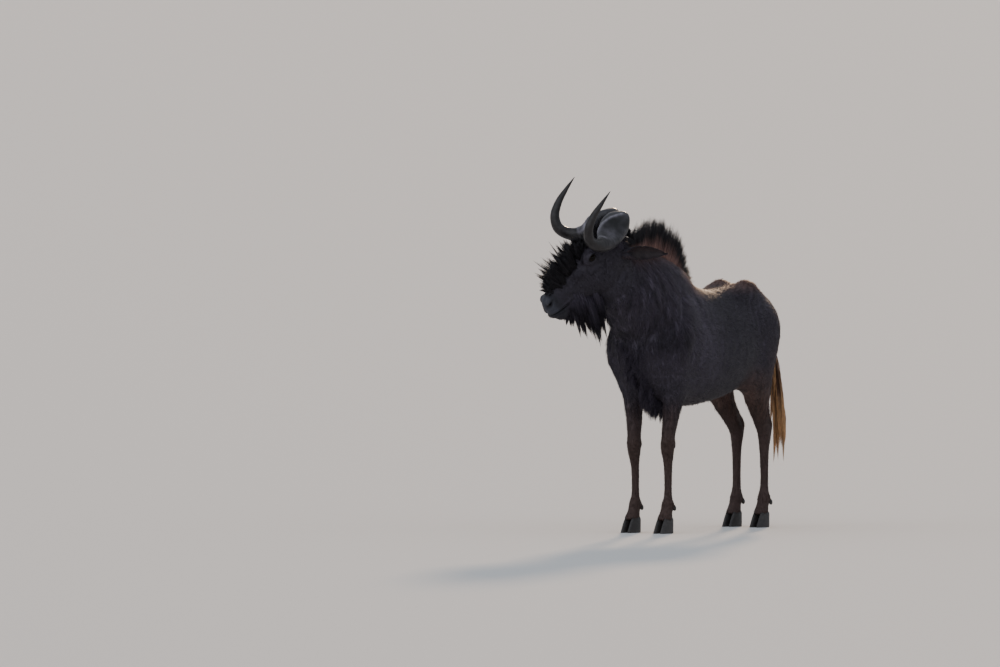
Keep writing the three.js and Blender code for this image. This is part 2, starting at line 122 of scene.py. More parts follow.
def mound(x, centre, half):
    """1 at the centre, falling smoothly to 0 at half a width away."""
    return np.clip(1 - ((x - centre) / half) ** 2, 0, 1) ** 2


def smooth_line(points, t):
    """Uniform Catmull-Rom line through the points; t runs 0 to 1 from the first to the last."""
    p = np.asarray(points, float)
    padded = np.vstack([2 * p[0] - p[1], p, 2 * p[-1] - p[-2]])
    s = np.clip(np.asarray(t), 0, 1) * (len(p) - 1)
    i = np.minimum(s.astype(int), len(p) - 2)
    w = (s - i)[:, None]
    a, b, c, d = (padded[i + k] for k in range(4))
    bend, twist = 2 * a - 5 * b + 4 * c - d, 3 * b - a - 3 * c + d
    return 0.5 * (2 * b + (c - a) * w + bend * w**2 + twist * w**3)


def lumps(p, size, seed):
    """Smooth random field of about -1 to 1: a sum of sines in random directions at scale `size`."""
    rng = np.random.default_rng(seed)
    waves = rng.normal(size=(9, 3))
    waves = waves / np.linalg.norm(waves, axis=1, keepdims=True) * rng.uniform(0.7, 1.6, (9, 1))
    return np.sin(p @ waves.T * (2 * np.pi / size) + rng.uniform(0, 6.28, 9)).sum(1) / 4.2


def new_mesh(name, verts, faces, colours=None, uv=None):
    """A mesh object at the origin from arrays; faces all have the same number of corners."""
    faces = np.asarray(faces, np.int32)
    mesh = bpy.data.meshes.new(name)
    mesh.vertices.add(len(verts))
    mesh.vertices.foreach_set("co", np.asarray(verts, np.float32).ravel())
    corners = faces.shape[1]
    mesh.loops.add(faces.size)
    mesh.loops.foreach_set("vertex_index", faces.ravel())
    mesh.polygons.add(len(faces))
    mesh.polygons.foreach_set("loop_start", np.arange(0, faces.size, corners, dtype=np.int32))
    mesh.polygons.foreach_set("use_smooth", np.ones(len(faces), bool))
    mesh.update(calc_edges=True)
    if colours is not None:
        set_colours(mesh, colours)
    if uv is not None:
        layer = mesh.uv_layers.new(name="OFBake")
        layer.data.foreach_set("uv", np.asarray(uv, np.float32)[faces.ravel()].ravel())
    piece = bpy.data.objects.new(name, mesh)
    bpy.context.scene.collection.objects.link(piece)
    return piece


def set_colours(mesh, colours):
    """Stores a colour for each vertex as the attribute `tint`."""
    layer = mesh.color_attributes.new("tint", "FLOAT_COLOR", "POINT")
    rgba = np.ones((len(colours), 4), np.float32)
    rgba[:, :3] = colours
    layer.data.foreach_set("color", rgba.ravel())


def finish_piece(piece, material, slot, *nodes):
    """Gives a piece its material and its body, and hides the solids it stands for; `slot` is not used."""
    piece.data.materials.append(material)
    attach(piece, "root")
    if nodes:
        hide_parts(*nodes)


def ring_faces(rings, sides):
    """Quads between neighbouring rings: point k of a ring, point k + 1, and the same on the next."""
    r, s = np.meshgrid(np.arange(rings - 1), np.arange(sides), indexing="ij")
    a = r * sides + s
    b = r * sides + (s + 1) % sides
    return np.stack([a, b, b + sides, a + sides], -1).reshape(-1, 4)


def halves(quads):
    """Each quad as two triangles."""
    return np.vstack([quads[:, [0, 1, 2]], quads[:, [0, 2, 3]]])


def outward(verts, tris):
    """Turns the triangles round if the closed shape's signed volume is negative."""
    a, b, c = (verts[tris[:, i]] for i in range(3))
    if np.einsum("ij,ij->i", a, np.cross(b, c)).sum() < 0:
        tris = tris[:, ::-1]
    return verts, tris


def closed_rings(verts, rings, sides):
    """Triangles over all rings, and a fan from each end ring to one of the last two points."""
    n, k, base = len(verts), np.arange(sides), (rings - 1) * sides
    after = (k + 1) % sides
    first = np.stack([np.full(sides, n - 2), after, k], 1)
    last = np.stack([np.full(sides, n - 1), base + k, base + after], 1)
    return outward(verts, np.vstack([halves(ring_faces(rings, sides)), first, last]))


def loft(stations, up, plane=None, sides=48, steps=8, grow=0.0):
    """Closed oval loft as (verts, triangles).

    Ovals are strung along a smooth line through the stations (x, y, z, deep, wide, pinch). Each
    oval is centre + deep * cos(turn) * up + wide * sin(turn) * (1 - pinch * cos(turn)) * across.
    """
    table = np.asarray(stations, float)
    t = np.linspace(0, 1, (len(table) - 1) * steps + 1)
    row = smooth_line(table, t)
    centre, size = row[:, :3], row[:, 3:]
    if plane is None:
        along = unit(np.gradient(centre, axis=0))
        deepwards = np.empty_like(centre)
        current = np.asarray(up, float)
        for i, a in enumerate(along):
            current = unit(current - a * (current @ a))
            deepwards[i] = current
    else:
        along = np.tile(unit(np.asarray(plane, float)), (len(t), 1))
        deepwards = unit(up - along * (along @ np.asarray(up, float))[:, None])
    across = np.cross(deepwards, along)
    centre = centre.copy()
    centre[0] -= along[0] * grow
    centre[-1] += along[-1] * grow
    turn = np.linspace(0, 2 * np.pi, sides, endpoint=False)
    c, s = np.cos(turn), np.sin(turn)
    deep = np.maximum(size[:, 0:1] + grow, 0.001) * c
    wide = np.maximum(size[:, 1:2] + grow, 0.001) * s * (1 - size[:, 2:3] * c)
    verts = centre[:, None] + deepwards[:, None] * deep[..., None] + across[:, None] * wide[..., None]
    return closed_rings(np.vstack([verts.reshape(-1, 3), centre[0], centre[-1]]), len(t), sides)


def egg(at, half, sides=24, rings=12):
    """Ellipsoid with centre `at` and half sizes `half`, as a grid of longitude and latitude."""
    lat = np.linspace(-0.5 * np.pi, 0.5 * np.pi, rings + 1)[1:-1]
    lon = np.linspace(0, 2 * np.pi, sides, endpoint=False)
    la, lo = np.meshgrid(lat, lon, indexing="ij")
    ball = np.stack([np.cos(la) * np.cos(lo), np.cos(la) * np.sin(lo), np.sin(la)], -1).reshape(-1, 3)
    return closed_rings(np.vstack([ball, [0, 0, -1], [0, 0, 1]]) * half + at, rings - 1, sides)


def joined(parts):
    """Several (verts, triangles) as one."""
    offsets = np.cumsum([0] + [len(v) for v, _ in parts[:-1]])
    return np.vstack([v for v, _ in parts]), np.vstack([f + o for (_, f), o in zip(parts, offsets)])


def mirrored(stations, side):
    """Left-hand stations on the side given as 1 or -1: y times `side`."""
    table = np.array(stations, float)
    table[:, 1] *= side
    return table


# Flesh, as stations of ovals in millimetres: x, y, z, half depth, half width, pinch

def rib(x, top, bottom, wide, pinch=0.0):
    """A station in the middle plane, from its top and bottom."""
    return (x, 0, (top + bottom) / 2, (top - bottom) / 2, wide, pinch)


TRUNK = [
    rib(-534, 875, 800, 30), rib(-518, 925, 730, 80), rib(-470, 982, 655, 124), rib(-400, 1014, 610, 148),
    rib(-310, 1026, 586, 164), rib(-200, 1016, 560, 178, 0.08), rib(-80, 1008, 536, 192, 0.18),
    rib(40, 1026, 520, 195, 0.26), rib(140, 1070, 515, 190, 0.32), rib(230, 1118, 520, 182, 0.38),
    rib(310, 1138, 536, 172, 0.4), rib(380, 1120, 570, 158, 0.36), rib(440, 1060, 624, 138, 0.3),
    rib(484, 970, 690, 104, 0.2), rib(508, 880, 760, 50, 0.1),
]
NECK = [
    (215, 0, 876, 235, 150, 0.25), (350, 0, 948, 224, 146, 0.35), (470, 0, 1000, 186, 122, 0.35),
    (560, -8, 1045, 144, 100, 0.3), (632, -16, 1095, 122, 86, 0.2),
]
SKULL = [
    rib(-172, 2, -92, 50), rib(-150, 24, -128, 70), rib(-100, 42, -162, 84), rib(-45, 50, -182, 88, 0.05),
    rib(5, 46, -182, 84, 0.15), rib(60, 36, -166, 68, 0.2), rib(115, 24, -150, 52, 0.1),
    rib(165, 12, -142, 47), rib(205, 2, -144, 53, -0.05), rib(240, -12, -142, 56),
    rib(264, -30, -124, 46, 0.1), rib(277, -48, -98, 26),
]
FORELEG = [
    (262, 92, 985, 55, 26, 0), (290, 104, 930, 88, 56, 0), (335, 116, 830, 112, 72, 0),
    (352, 118, 740, 108, 72, 0), (345, 112, 670, 94, 62, 0), (328, 104, 610, 78, 52, 0),
    (326, 97, 550, 58, 44, 0), (335, 90, 480, 42, 36, 0), (343, 85, 420, 35, 31, 0),
    (347, 83, 378, 34, 30, 0), (348, 82, 345, 33, 30, 0), (345, 82, 310, 26, 25, 0),
    (342, 81, 270, 21, 21, 0), (340, 80, 190, 19.5, 19, 0), (341, 80, 150, 22, 21, 0),
    (344, 80, 125, 29, 27, 0), (351, 80, 98, 28, 28, 0), (360, 80, 76, 32, 31, 0), (366, 80, 60, 38, 35, 0),
    (368, 80, 50, 39, 36, 0),
]
HINDLEG = [
    (-300, 70, 985, 60, 30, 0), (-312, 88, 930, 112, 62, 0), (-318, 98, 850, 140, 80, 0),
    (-312, 100, 770, 138, 78, 0), (-310, 101, 700, 124, 70, 0), (-312, 99, 640, 108, 62, 0),
    (-324, 94, 580, 96, 54, 0), (-347, 86, 530, 76, 44, 0), (-378, 79, 480, 60, 36, 0),
    (-405, 73, 440, 50, 31, 0), (-426, 69, 410, 45, 29, 0), (-433, 68, 385, 37, 28, 0),
    (-432, 68, 350, 29, 25, 0), (-432, 68, 300, 23.5, 22, 0), (-432, 68, 200, 21.5, 20, 0),
    (-431, 68, 155, 24, 22, 0), (-428, 68, 128, 31, 28, 0), (-421, 68, 100, 29, 28, 0),
    (-412, 68, 76, 33, 31, 0), (-406, 68, 60, 38, 35, 0), (-404, 68, 50, 39, 36, 0),
]
DOCK = [
    (-470, 0, 905, 26, 26, 0), (-525, 2, 880, 26, 25, 0), (-556, 10, 820, 22, 22, 0),
    (-566, 22, 740, 19, 19, 0), (-570, 36, 640, 16, 16, 0), (-572, 46, 540, 10, 10, 0),
]
TENDON = [
    (-372, 82, 600, 16, 14, 0), (-430, 72, 500, 14, 12, 0), (-470, 68, 440, 14, 13, 0),
    (-462, 68, 395, 14, 13, 0), (-448, 68, 340, 10, 12, 0),
]
HIP = {"x": -276, "y": 66, "z": 984, "deep": 38, "wide": 62, "long": 124, "sag": 14, "least": 6}
DOCK_SKIN = 0.004
EYE_AT = (2, 74, 4)
EYE_RADIUS = 19
MM = 0.001


def metres(stations):
    """Millimetre stations as metres; the last column, the pinch, has no unit."""
    table = np.array(stations, float)
    table[:, :5] *= MM
    return table


def placed(part):
    """A head-frame (verts, triangles) in the body frame."""
    return from_head(part[0]), part[1]


def egg_at(form, side):
    """An egg from a table's line, on one side, in metres."""
    at, half = form
    return egg(np.array(at) * [1, side, 1] * MM, np.array(half) * MM)


def flesh_parts(coat, short_coat):
    """Every form of the body as overlapping closed lofts, each drawn in by its coat's depth.

    The hip is a loft whose half sizes follow the half circle sqrt(1 - swell^2).
    """
    up, ahead, down = (0, 0, 1), (1, 0, 0), (0, 0, -1)
    parts = [
        loft(metres(TRUNK), up, ahead, grow=-coat),
        loft(metres(NECK), up, grow=-coat),
        placed(loft(metres(SKULL), up, ahead, grow=-short_coat)),
        loft(metres(DOCK), (1, 0, 0.1), grow=-DOCK_SKIN),
    ]
    swell = np.array([-1, -0.8, -0.4, 0, 0.4, 0.8, 1])
    round_off = np.sqrt(1 - swell**2)
    for side in SIDES.values():
        for leg in (FORELEG, HINDLEG):
            parts.append(loft(metres(mirrored(leg, side)), ahead, down, grow=-short_coat))
        hip = np.stack([
            HIP["x"] + swell * HIP["long"], np.full(7, side * HIP["y"]), HIP["z"] - HIP["sag"] * swell**2,
            HIP["deep"] * round_off + HIP["least"], HIP["wide"] * round_off + HIP["least"], np.zeros(7),
        ], 1)
        parts.append(loft(metres(hip), up, ahead, grow=-coat))
        parts += [egg_at(form, side) for form in MUSCLES]
        parts += [placed(egg_at(form, side)) for form in HEAD_FORMS]
        parts.append(loft(metres(mirrored(TENDON, side)), ahead, down))
    return joined(parts)


# Muscles and bones that show under the coat, in the body frame: centre, half sizes
MUSCLES = (
    ((395, 96, 735), (78, 62, 92)),
    ((300, 98, 640), (52, 44, 58)),
    ((-275, 98, 640), (58, 48, 70)),
    ((345, 83, 372), (36, 31, 34)),
    ((-466, 68, 424), (20, 16, 30)),
    ((-290, 62, 1010), (42, 32, 33)),
    ((334, 80, 116), (22, 27, 24)),
    ((-440, 68, 118), (22, 27, 24)),
)
# The same in the head frame: brow, cheek, cheekbone, nostril flap, upper lip, chin, ear root
HEAD_FORMS = (
    ((0, 58, 4), (44, 29, 33)),
    ((-2, 54, -108), (66, 32, 58)),
    ((52, 48, -30), (58, 18, 20)),
    ((243, 40, -42), (23, 15, 25)),
    ((252, 26, -74), (24, 30, 20)),
    ((226, 14, -124), (34, 30, 20)),
    ((-112, 64, -64), (30, 24, 28)),
)


def fetched(items, name, width, kind=np.float32):
    """One property of all of a mesh's items, as rows of `width` numbers."""
    values = np.empty(len(items) * width, kind)
    items.foreach_get(name, values)
    return values.reshape(-1, width)


def surface(piece):
    """Vertices, triangles and vertex normals of a mesh object."""
    mesh = piece.data
    co = fetched(mesh.vertices, "co", 3)
    mesh.calc_loop_triangles()
    tris = fetched(mesh.loop_triangles, "vertices", 3, np.int32)
    return co.astype(float), tris, fetched(mesh.vertex_normals, "vector", 3).astype(float)


def along_surface(v, normal):
    """Directions laid flat: each less its part along the normal, at unit length."""
    return unit(v - normal * np.einsum("ij,ij->i", v, normal)[:, None])


def head_zone(h, start, full, outer, inner):
    """1 on the head: a step along the nose, times a step by distance from the skull's axis."""
    return ease(start, full, h[:, 0]) * ease(outer, inner, np.hypot(h[:, 1], h[:, 2] + 60))


def eye_at(side):
    """Middle of the eyeball in the head frame, in millimetres."""
    return np.array(EYE_AT) * [1, side, 1]


def head_share(p):
    """1 on the head, 0 on the neck and body, with a smooth step behind the cheek."""
    return head_zone(to_head(p) / MM, -150, -105, 190, 155) * ease(0.5, 0.6, p[:, 0])


def relax(piece, weights_of, rounds):
    """Moves each vertex towards the mean of its neighbours, by weights_of(points), `rounds` times."""
    mesh = piece.data
    edges = fetched(mesh.edges, "vertices", 2, np.int32)
    co = fetched(mesh.vertices, "co", 3).astype(float)
    a, b = np.vstack([edges, edges[:, ::-1]]).T
    number = np.maximum(np.bincount(a, minlength=len(co)), 1)[:, None]
    weight = weights_of(co)[:, None]
    for _ in range(rounds):
        mean = np.stack([np.bincount(a, co[b, k], minlength=len(co)) for k in range(3)], 1) / number
        co += (mean - co) * weight
    mesh.vertices.foreach_set("co", co.astype(np.float32).ravel())
    mesh.update()


def refine(piece, chosen):
    """Splits in four the faces whose centres pass chosen(points)."""
    mesh = piece.data
    pick = chosen(fetched(mesh.polygons, "center", 3))
    work = bmesh.new()
    work.from_mesh(mesh)
    work.faces.ensure_lookup_table()
    edges = {e for i in np.flatnonzero(pick) for e in work.faces[i].edges}
    bmesh.ops.subdivide_edges(work, edges=list(edges), cuts=1, use_grid_fill=True)
    bmesh.ops.triangulate(work, faces=[f for f in work.faces if len(f.verts) > 4])
    work.to_mesh(mesh)
    work.free()
    mesh.update()


# Marks on the skin: the hip's in metres, the head's in millimetres of the head frame
HIP_POINT = (-0.29, 0.062, 1.01)
HIP_REACH = 0.07
# Nape: middle and reach of painted shade under the horn bosses and between the ear roots
NAPE = (-176, 0, -30)
NAPE_REACH = 105
NOSTRIL = {"ahead": 254, "long": 16.0, "high": 8.0, "deep": 21}
NOSTRIL_RIM = {"ahead": 252, "long": 20.0, "high": 14.0, "proud": 3.0}


def haunch_arc(x, z):
    """Distance from the middle of the haunch, round which its folds and streaks run."""
    return np.hypot(x + 0.37, 0.9 * (z - 0.86))


def over_mouth(a, g):
    """Height over the line of the lips, which rises towards the nose."""
    return g + 94 - 0.09 * (a - 240)


def nostril_bell(a, g, ahead, long, high):
    """1 in the nostril, falling as a bell shape along its slanting line and across it."""
    bend = g + 46 + 0.5 * (a - 252)
    return np.exp(-((a - ahead) / long) ** 2 - (bend / high) ** 2)


def skin_relief(p):
    """How far the skin stands out along its normal, from folds, muscles and the marks of the face.

    Folds are the absolute value of a sine across slanting bands on the neck and shoulder, faded out
    at the bands' ends; the face's marks are bell shapes round points and lines in the head frame.
    """
    x, y, z = p.T
    side = np.abs(y)
    slant = x + 0.42 * (z - 1.0) + 0.012 * lumps(p, 0.22, 5)
    neck_fold = ease(0.2, 0.3, x) * ease(0.72, 0.62, x) * ease(0.7, 0.8, z) * ease(1.14, 1.04, z)
    rise = -0.0055 * neck_fold * ease(0.05, 0.1, side) * (1 - np.abs(np.sin(slant * np.pi / 0.105))) ** 3
    arc = haunch_arc(x, z)
    haunch = mound(arc, 0.19, 0.1) * ease(-0.14, -0.24, x) * ease(0.05, 0.1, side) * ease(0.64, 0.74, z)
    rise += 0.0015 * haunch * np.sin(arc * 2 * np.pi / 0.03 + lumps(p, 0.2, 8))
    ribs = ease(-0.22, -0.12, x) * ease(0.26, 0.14, x) * mound(z, 0.76, 0.2) * ease(0.1, 0.15, side)
    rise += 0.0007 * ribs * np.sin((x + 0.3 * (z - 0.76)) * 2 * np.pi / 0.062)
    blade = ease(0.14, 0.2, x) * ease(0.4, 0.3, x) * mound(z, 0.9, 0.2) * ease(0.06, 0.1, side)
    rise -= 0.005 * blade * mound(x - 0.19 - 0.35 * (z - 0.9), 0.0, 0.05)
    rise += 0.0012 * lumps(p, 0.06, 3) * ease(0.5, 0.6, z)
    rump = ease(-0.4, -0.48, x) * mound(z, 0.84, 0.2)
    rise += 0.006 * rump
    from_hip = np.linalg.norm(np.stack([x, side, z], 1) - HIP_POINT, axis=1)
    rise += 0.007 * mound(from_hip, 0, HIP_REACH)
    h = to_head(p) / MM
    a, b, g = h.T
    on_head = MM * head_zone(h, -60, -20, 240, 200)
    far = np.abs(b)
    mouth = over_mouth(a, g)
    lips = 2.6 * mound(np.abs(mouth), 11, 9) - 6.5 * np.exp(-(mouth / 2.6) ** 2)
    rise += on_head * ease(158, 176, a) * lips
    rim, pit = NOSTRIL_RIM, NOSTRIL
    proud = nostril_bell(a, g, rim["ahead"], rim["long"], rim["high"]) * ease(14, 30, far)
    rise += on_head * rim["proud"] * proud
    hollow = nostril_bell(a, g, pit["ahead"], pit["long"], pit["high"]) * ease(15, 28, far)
    rise -= on_head * pit["deep"] * hollow
    tear_gland = np.exp(-((a - 58) / 12.0) ** 2 - ((g + 8) / 9.0) ** 2) * ease(30, 45, far)
    rise -= on_head * 3.5 * tear_gland
    groove = np.exp(-((g + 20 + 0.12 * a) / 12.0) ** 2) * mound(a, 120, 70) * ease(25, 38, far)
    rise -= on_head * 2.5 * groove
    parting = np.exp(-(b / 4.5) ** 2) * ease(248, 266, a) * mound(g, -62, 34)
    rise -= on_head * 2.2 * parting
    cheek = mound(a, 20, 60) * np.exp(-((g + 50) / 9.0) ** 2) * ease(40, 55, far)
    rise += on_head * 2.0 * cheek
    return rise


def sink_eyes(p):
    """Pulls the skin in front of each eyeball back inside the ball, so that the ball shows."""
    h = to_head(p) / MM
    for side in SIDES.values():
        away = h - eye_at(side)
        r = np.linalg.norm(away, axis=1)
        inside = np.hypot(away[:, 0], away[:, 2]) < EYE_RADIUS + 3
        outer = (away[:, 1] * side > -4) & inside
        reach = np.where(outer, np.minimum(r, EYE_RADIUS - 3), r)
        h = h + away * ((reach / np.maximum(r, 1e-6)) - 1)[:, None]
    return from_head(h * MM)


# Colours of skin and coat, one formula for both

def coat_colour(p, look):
    """Near-black brown with reddish brown at the mane's foot, paler legs, a dark muzzle, and painted light
    and shade.

    The coat's colour is scaled by random streaks, by painted fold shading round the haunch and by painted
    light by place (lighter neck, shoulder and haunch, darker head, painted shade in the throat crease and
    at the nape), then moved by products of smooth steps towards the reddish brown, which on back and rump
    is painted warm rim light, and towards the leg and muzzle colours; painted shade darkens the nostrils
    and the line between the lips.
    """
    coat, rust_and_rim_light, leg, muzzle = (np.array(c)[None] for c in (look.coat, look.rust_and_rim_light, look.leg, look.muzzle))
    x, y, z = p.T
    h = to_head(p) / MM
    a, b, g = h.T
    drawn = p * [1, 1, 0.16]
    streaks = 0.28 * lumps(drawn, 0.05, 23) + 0.14 * lumps(drawn, 0.02, 24)
    arc = haunch_arc(x, z)
    # Painted fold shading and sheen: lighter and darker arcs round the haunch, in step with the relief's
    # folds
    painted_fold_arcs = 0.08 * np.sin(arc * 2 * np.pi / 0.03 + lumps(p, 0.2, 8)) * mound(arc, 0.19, 0.12)
    painted_fold_arcs *= (x < 0) * ease(0.66, 0.76, z) * ease(-0.46, -0.4, x)
    front = ease(0.0, 0.2, x)
    body = 1 - head_share(p)
    on_neck = front * body * ease(0.68, 0.8, z)
    vary = 0.06 * lumps(p, 0.2, 21) + 0.04 * lumps(p, 0.035, 22) + on_neck * streaks + painted_fold_arcs
    # Painted light: neck and shoulder lighter to make up for the shade of their longer hair, the haunch
    # lighter and the head darker, as light falls on them
    place = front * ease(0.52, 0.72, z) * (0.95 - 0.97 * head_share(p)) + 0.6 * ease(-0.18, -0.4, x)
    # Painted shade in the crease where the throat meets the chest
    throat_crease_shade = mound(z, 0.812, 0.07) * ease(0.32, 0.4, x)
    place -= 0.8 * throat_crease_shade
    # Painted shade at the nape, under the horn bosses
    from_nape = np.linalg.norm(h * [1, 0.8, 1] - NAPE, axis=1)
    place -= (place + 0.35) * mound(from_nape, 0, NAPE_REACH)
    tone = coat * ((1 + vary) * (1 + place))[:, None]
    # Painted warm rim light: the rear of the rump and the top of the back turn reddish brown as if grazed
    # by the light from behind; the crest is the coat's own reddish brown at the mane's foot
    crest = mound(np.abs(y), 0, 0.07) * ease(1.03, 1.1, z) * ease(0.66, 0.56, x) * ease(0.02, 0.1, x)
    rump = ease(-0.4, -0.52, x) * ease(0.5, 0.7, z) * 0.3
    back = ease(0.25, 0.1, x) * ease(0.97, 1.03, z) * 0.75
    tone = mixed(tone, rust_and_rim_light, crest * 0.8 + (rump + back))
    behind = ease(0.84, 0.62, z) * ease(-0.26, -0.4, x)
    thigh = np.maximum(behind, ease(0.72, 0.58, z) * ease(-0.1, -0.22, x))
    lower = np.maximum(ease(0.6, 0.36, z), thigh * (0.62 + 0.38 * ease(0.66, 0.5, z))) * 0.82
    brindle = ease(0.42, 0.52, z) * (0.7 + 0.7 * lumps(p * [1, 1, 0.3], 0.022, 25))
    tone = mixed(tone, leg * (1 + brindle)[:, None], lower)
    on_head = head_zone(h, -150, -120, 150, 120)
    snout = ease(190, 225, a) * on_head
    pad = ease(222, 244, a) * ease(-105, -88, g) * on_head
    tone = mixed(mixed(tone, muzzle * 0.55, snout * 0.7), muzzle, pad)
    # Painted shade: the nostrils and the line between the lips are darkened
    pit = nostril_bell(a, g, NOSTRIL["ahead"], 15.0, 7.0) * ease(15, 27, np.abs(b)) * on_head
    line = np.exp(-(over_mouth(a, g) / 2.6) ** 2) * ease(158, 176, a) * on_head
    return np.clip(tone * (1 - 0.92 * np.maximum(pit, line))[:, None], 0, 1)


# Unwrap of the skin's own shape: a tile for each part of the body, angle round it by place along it
TILES = {
    "trunk": (0.0, 0.0, 0.48, 0.48), "neck": (0.5, 0.0, 0.24, 0.48), "head": (0.75, 0.0, 0.24, 0.48),
    "fore_left": (0.0, 0.5, 0.18, 0.48), "fore_right": (0.2, 0.5, 0.18, 0.48),
    "hind_left": (0.4, 0.5, 0.18, 0.48), "hind_right": (0.6, 0.5, 0.18, 0.48),
    "tail": (0.8, 0.5, 0.18, 0.48),
}


def skin_chart(p):
    """Place of each point on the unwrap: angle round its part's axis, and share of the way along."""
    x, y, z = p.T
    h = to_head(p) / MM
    uv = np.empty((len(p), 2))
    todo = np.ones(len(p), bool)

    def fill(name, mask, angle, along):
        """Puts the points of the mask that have no place yet on the part's tile."""
        where = todo & mask
        u0, v0, du, dv = TILES[name]
        uv[where, 0] = u0 + du * (0.5 + angle[where] / (2 * np.pi))
        uv[where, 1] = v0 + dv * np.clip(along[where], 0, 1)
        todo[where] = False

    is_head = (h[:, 0] > -150) & (np.hypot(h[:, 1], h[:, 2] + 60) < 175) & (x > 0.56)
    fill("head", is_head, np.arctan2(h[:, 1], h[:, 2] + 70), (h[:, 0] + 160) / 450)
    fill("tail", x < -0.535, np.arctan2(y - 0.02, x + 0.57), (z - 0.2) / 0.75)
    low = z < 0.6
    for end, there, cx, cy in (("fore", x > 0, 0.34, 0.085), ("hind", x <= 0, -0.43, 0.07)):
        for name, side in SIDES.items():
            turn = np.arctan2(y - side * cy, x - cx)
            fill(f"{end}_{name}", low & there & (y * side > 0.02), turn, z / 0.6)
    fill("neck", (x > 0.3) & (z > 0.85), np.arctan2(y, z - 1.0), (x - 0.25) / 0.45)
    fill("trunk", np.ones(len(p), bool), np.arctan2(y, z - 0.8), (x + 0.55) / 1.15)
    return uv


# Hair and tufts

# Side of a hair's own patch on the unwrap, around its root's place
PATCH = 0.0028


def strands(name, root, middle, tip, width, flat, tint, uv, segments=3, thick=0.45, taper=1.6):
    """Tapered hairs as one mesh: three-sided tubes along quadratic curves, ending in a point.

    Point at t: (1-t)^2 root + 2t(1-t) middle + t^2 tip. Its three corners lie at +wide, -wide and
    +thin, where wide is half the width along `flat` and shrinks as 1 - t^taper. `tint` is a pair of
    colours (root, tip) with the place where one turns into the other, all per hair.
    """
    n = len(root)
    t = np.linspace(0, 1, segments + 1)[:, None, None]
    centre = (1 - t) ** 2 * root + 2 * t * (1 - t) * middle + t**2 * tip
    along = unit(2 * (1 - t) * (middle - root) + 2 * t * (tip - middle))
    thin = unit(np.cross(along, flat[None]))
    broad = unit(np.cross(thin, along))
    half = (width[None, :, None] / 2) * (1 - t**taper)
    ring = np.stack([
        centre + broad * half, centre - broad * half, centre + thin * half * 2 * thick,
    ], 2)[:-1]
    body = ring.transpose(1, 0, 2, 3).reshape(n, -1, 3)
    verts = np.concatenate([body, centre[-1][:, None]], 1)
    per = segments * 3 + 1
    tris = []
    for s in range(segments - 1):
        for k in range(3):
            a, b = s * 3 + k, s * 3 + (k + 1) % 3
            tris += [(a, b, b + 3), (a, b + 3, a + 3)]
    top = (segments - 1) * 3
    tris += [(top + k, top + (k + 1) % 3, per - 1) for k in range(3)] + [(0, 2, 1)]
    faces = (np.array(tris)[None] + (np.arange(n) * per)[:, None, None]).reshape(-1, 3)
    first = verts[:, [0, 1, 2]]
    face = np.cross(first[:, 1] - first[:, 0], first[:, 2] - first[:, 0])
    turned = np.einsum("ij,ij->i", face, along[0]) > 0
    flip = np.repeat(~turned, len(tris))
    faces[flip] = faces[flip][:, ::-1]
    low, high, turn = tint
    share = np.concatenate([np.repeat(np.linspace(0, 1, segments + 1)[:-1], 3), [1.0]])
    blend = ease(turn[:, None] - 0.14, turn[:, None] + 0.14, share[None])[..., None]
    colours = low[:, None] * (1 - blend) + high[:, None] * blend
    corner = np.concatenate([np.tile([-1, 1, 0], segments), [0]])
    patch = np.stack([corner * PATCH / 2, (share - 0.5) * PATCH], 1)
    return new_mesh(
        name, verts.reshape(-1, 3) + ORIGIN, faces,
        colours.reshape(-1, 3), (uv[:, None] + patch[None]).reshape(-1, 2),
    )


def hair_field(name, look, count, low, high):
    """Long hair between a line of roots and a line of tips, gathered into pointed clumps.

    Each clump has a place t on both lines and a stray to the side; its hairs keep near that place
    at the root and draw together to the clump's own tip. `low` and `high` colour root and tip.
    """
    rng = np.random.default_rng(look["seed"])
    roots, tips, spread = (np.array(column, float) * MM for column in zip(*look["lines"]))
    across = np.array(look.get("across", (0, 1, 0)), float)
    clumps = look["clumps"]
    ct = (np.arange(clumps) + rng.uniform(0, 1, clumps)) / clumps
    cs = rng.uniform(-1, 1, clumps)
    reach = rng.uniform(*look["reach"], clumps)
    lean = rng.normal(0, look["lean"] * MM, (clumps, 3))
    own = rng.integers(0, clumps, count)
    t = np.clip(ct[own] + rng.normal(0, look["loose"], count), 0, 1)
    s = np.clip(cs[own] + rng.normal(0, look["loose"] * 4, count), -1.1, 1.1)
    tt = ct[own] + (t - ct[own]) * look["gather"]
    ts = cs[own] + (s - cs[own]) * look["gather"]
    root = smooth_line(roots, t) + across * (smooth_line(spread, t)[:, :1] * s[:, None])
    root += np.array(look.get("round", (0, 0, 0)), float) * MM * (1 - np.sqrt(1 - 0.8 * s[:, None] ** 2))
    tip = smooth_line(tips, tt) + across * (smooth_line(spread, tt)[:, 1:] * ts[:, None]) + lean[own]
    length = reach[own] * rng.uniform(look.get("short", 0.72), 1.0, count)
    length *= 1 - look.get("dome", 0.0) * cs[own] ** 2
    tip = root + (tip - root) * length[:, None]
    bow = np.array(look["bow"], float) * MM
    middle = (root + tip) / 2 + bow * rng.uniform(0.4, 1.4, (count, 1))
    middle += rng.normal(0, 0.003, (count, 3))
    wave = look.get("wave", 0.0) * MM
    middle += wave * rng.normal(0, 1, (clumps, 3))[own]
    halfway = np.gradient(smooth_line(tips, np.linspace(0, 1, 9)), axis=0)[4]
    flat = unit(rng.normal(0, 1, (count, 3)) * 0.5 + halfway)
    width = look["width"] * MM * rng.uniform(0.75, 1.25, count)
    if look.get("head"):
        root, middle, tip, flat = from_head(root), from_head(middle), from_head(tip), flat @ HEAD.T
    shade = rng.uniform(0.75, 1.3, (count, 1))
    turn = np.full(count, 0.5) + rng.normal(0, 0.05, count)
    tint = (low[None] * shade, high[None] * shade, turn)
    return strands(name, root, middle, tip, width, flat, tint, skin_chart(root), look.get("segments", 3))


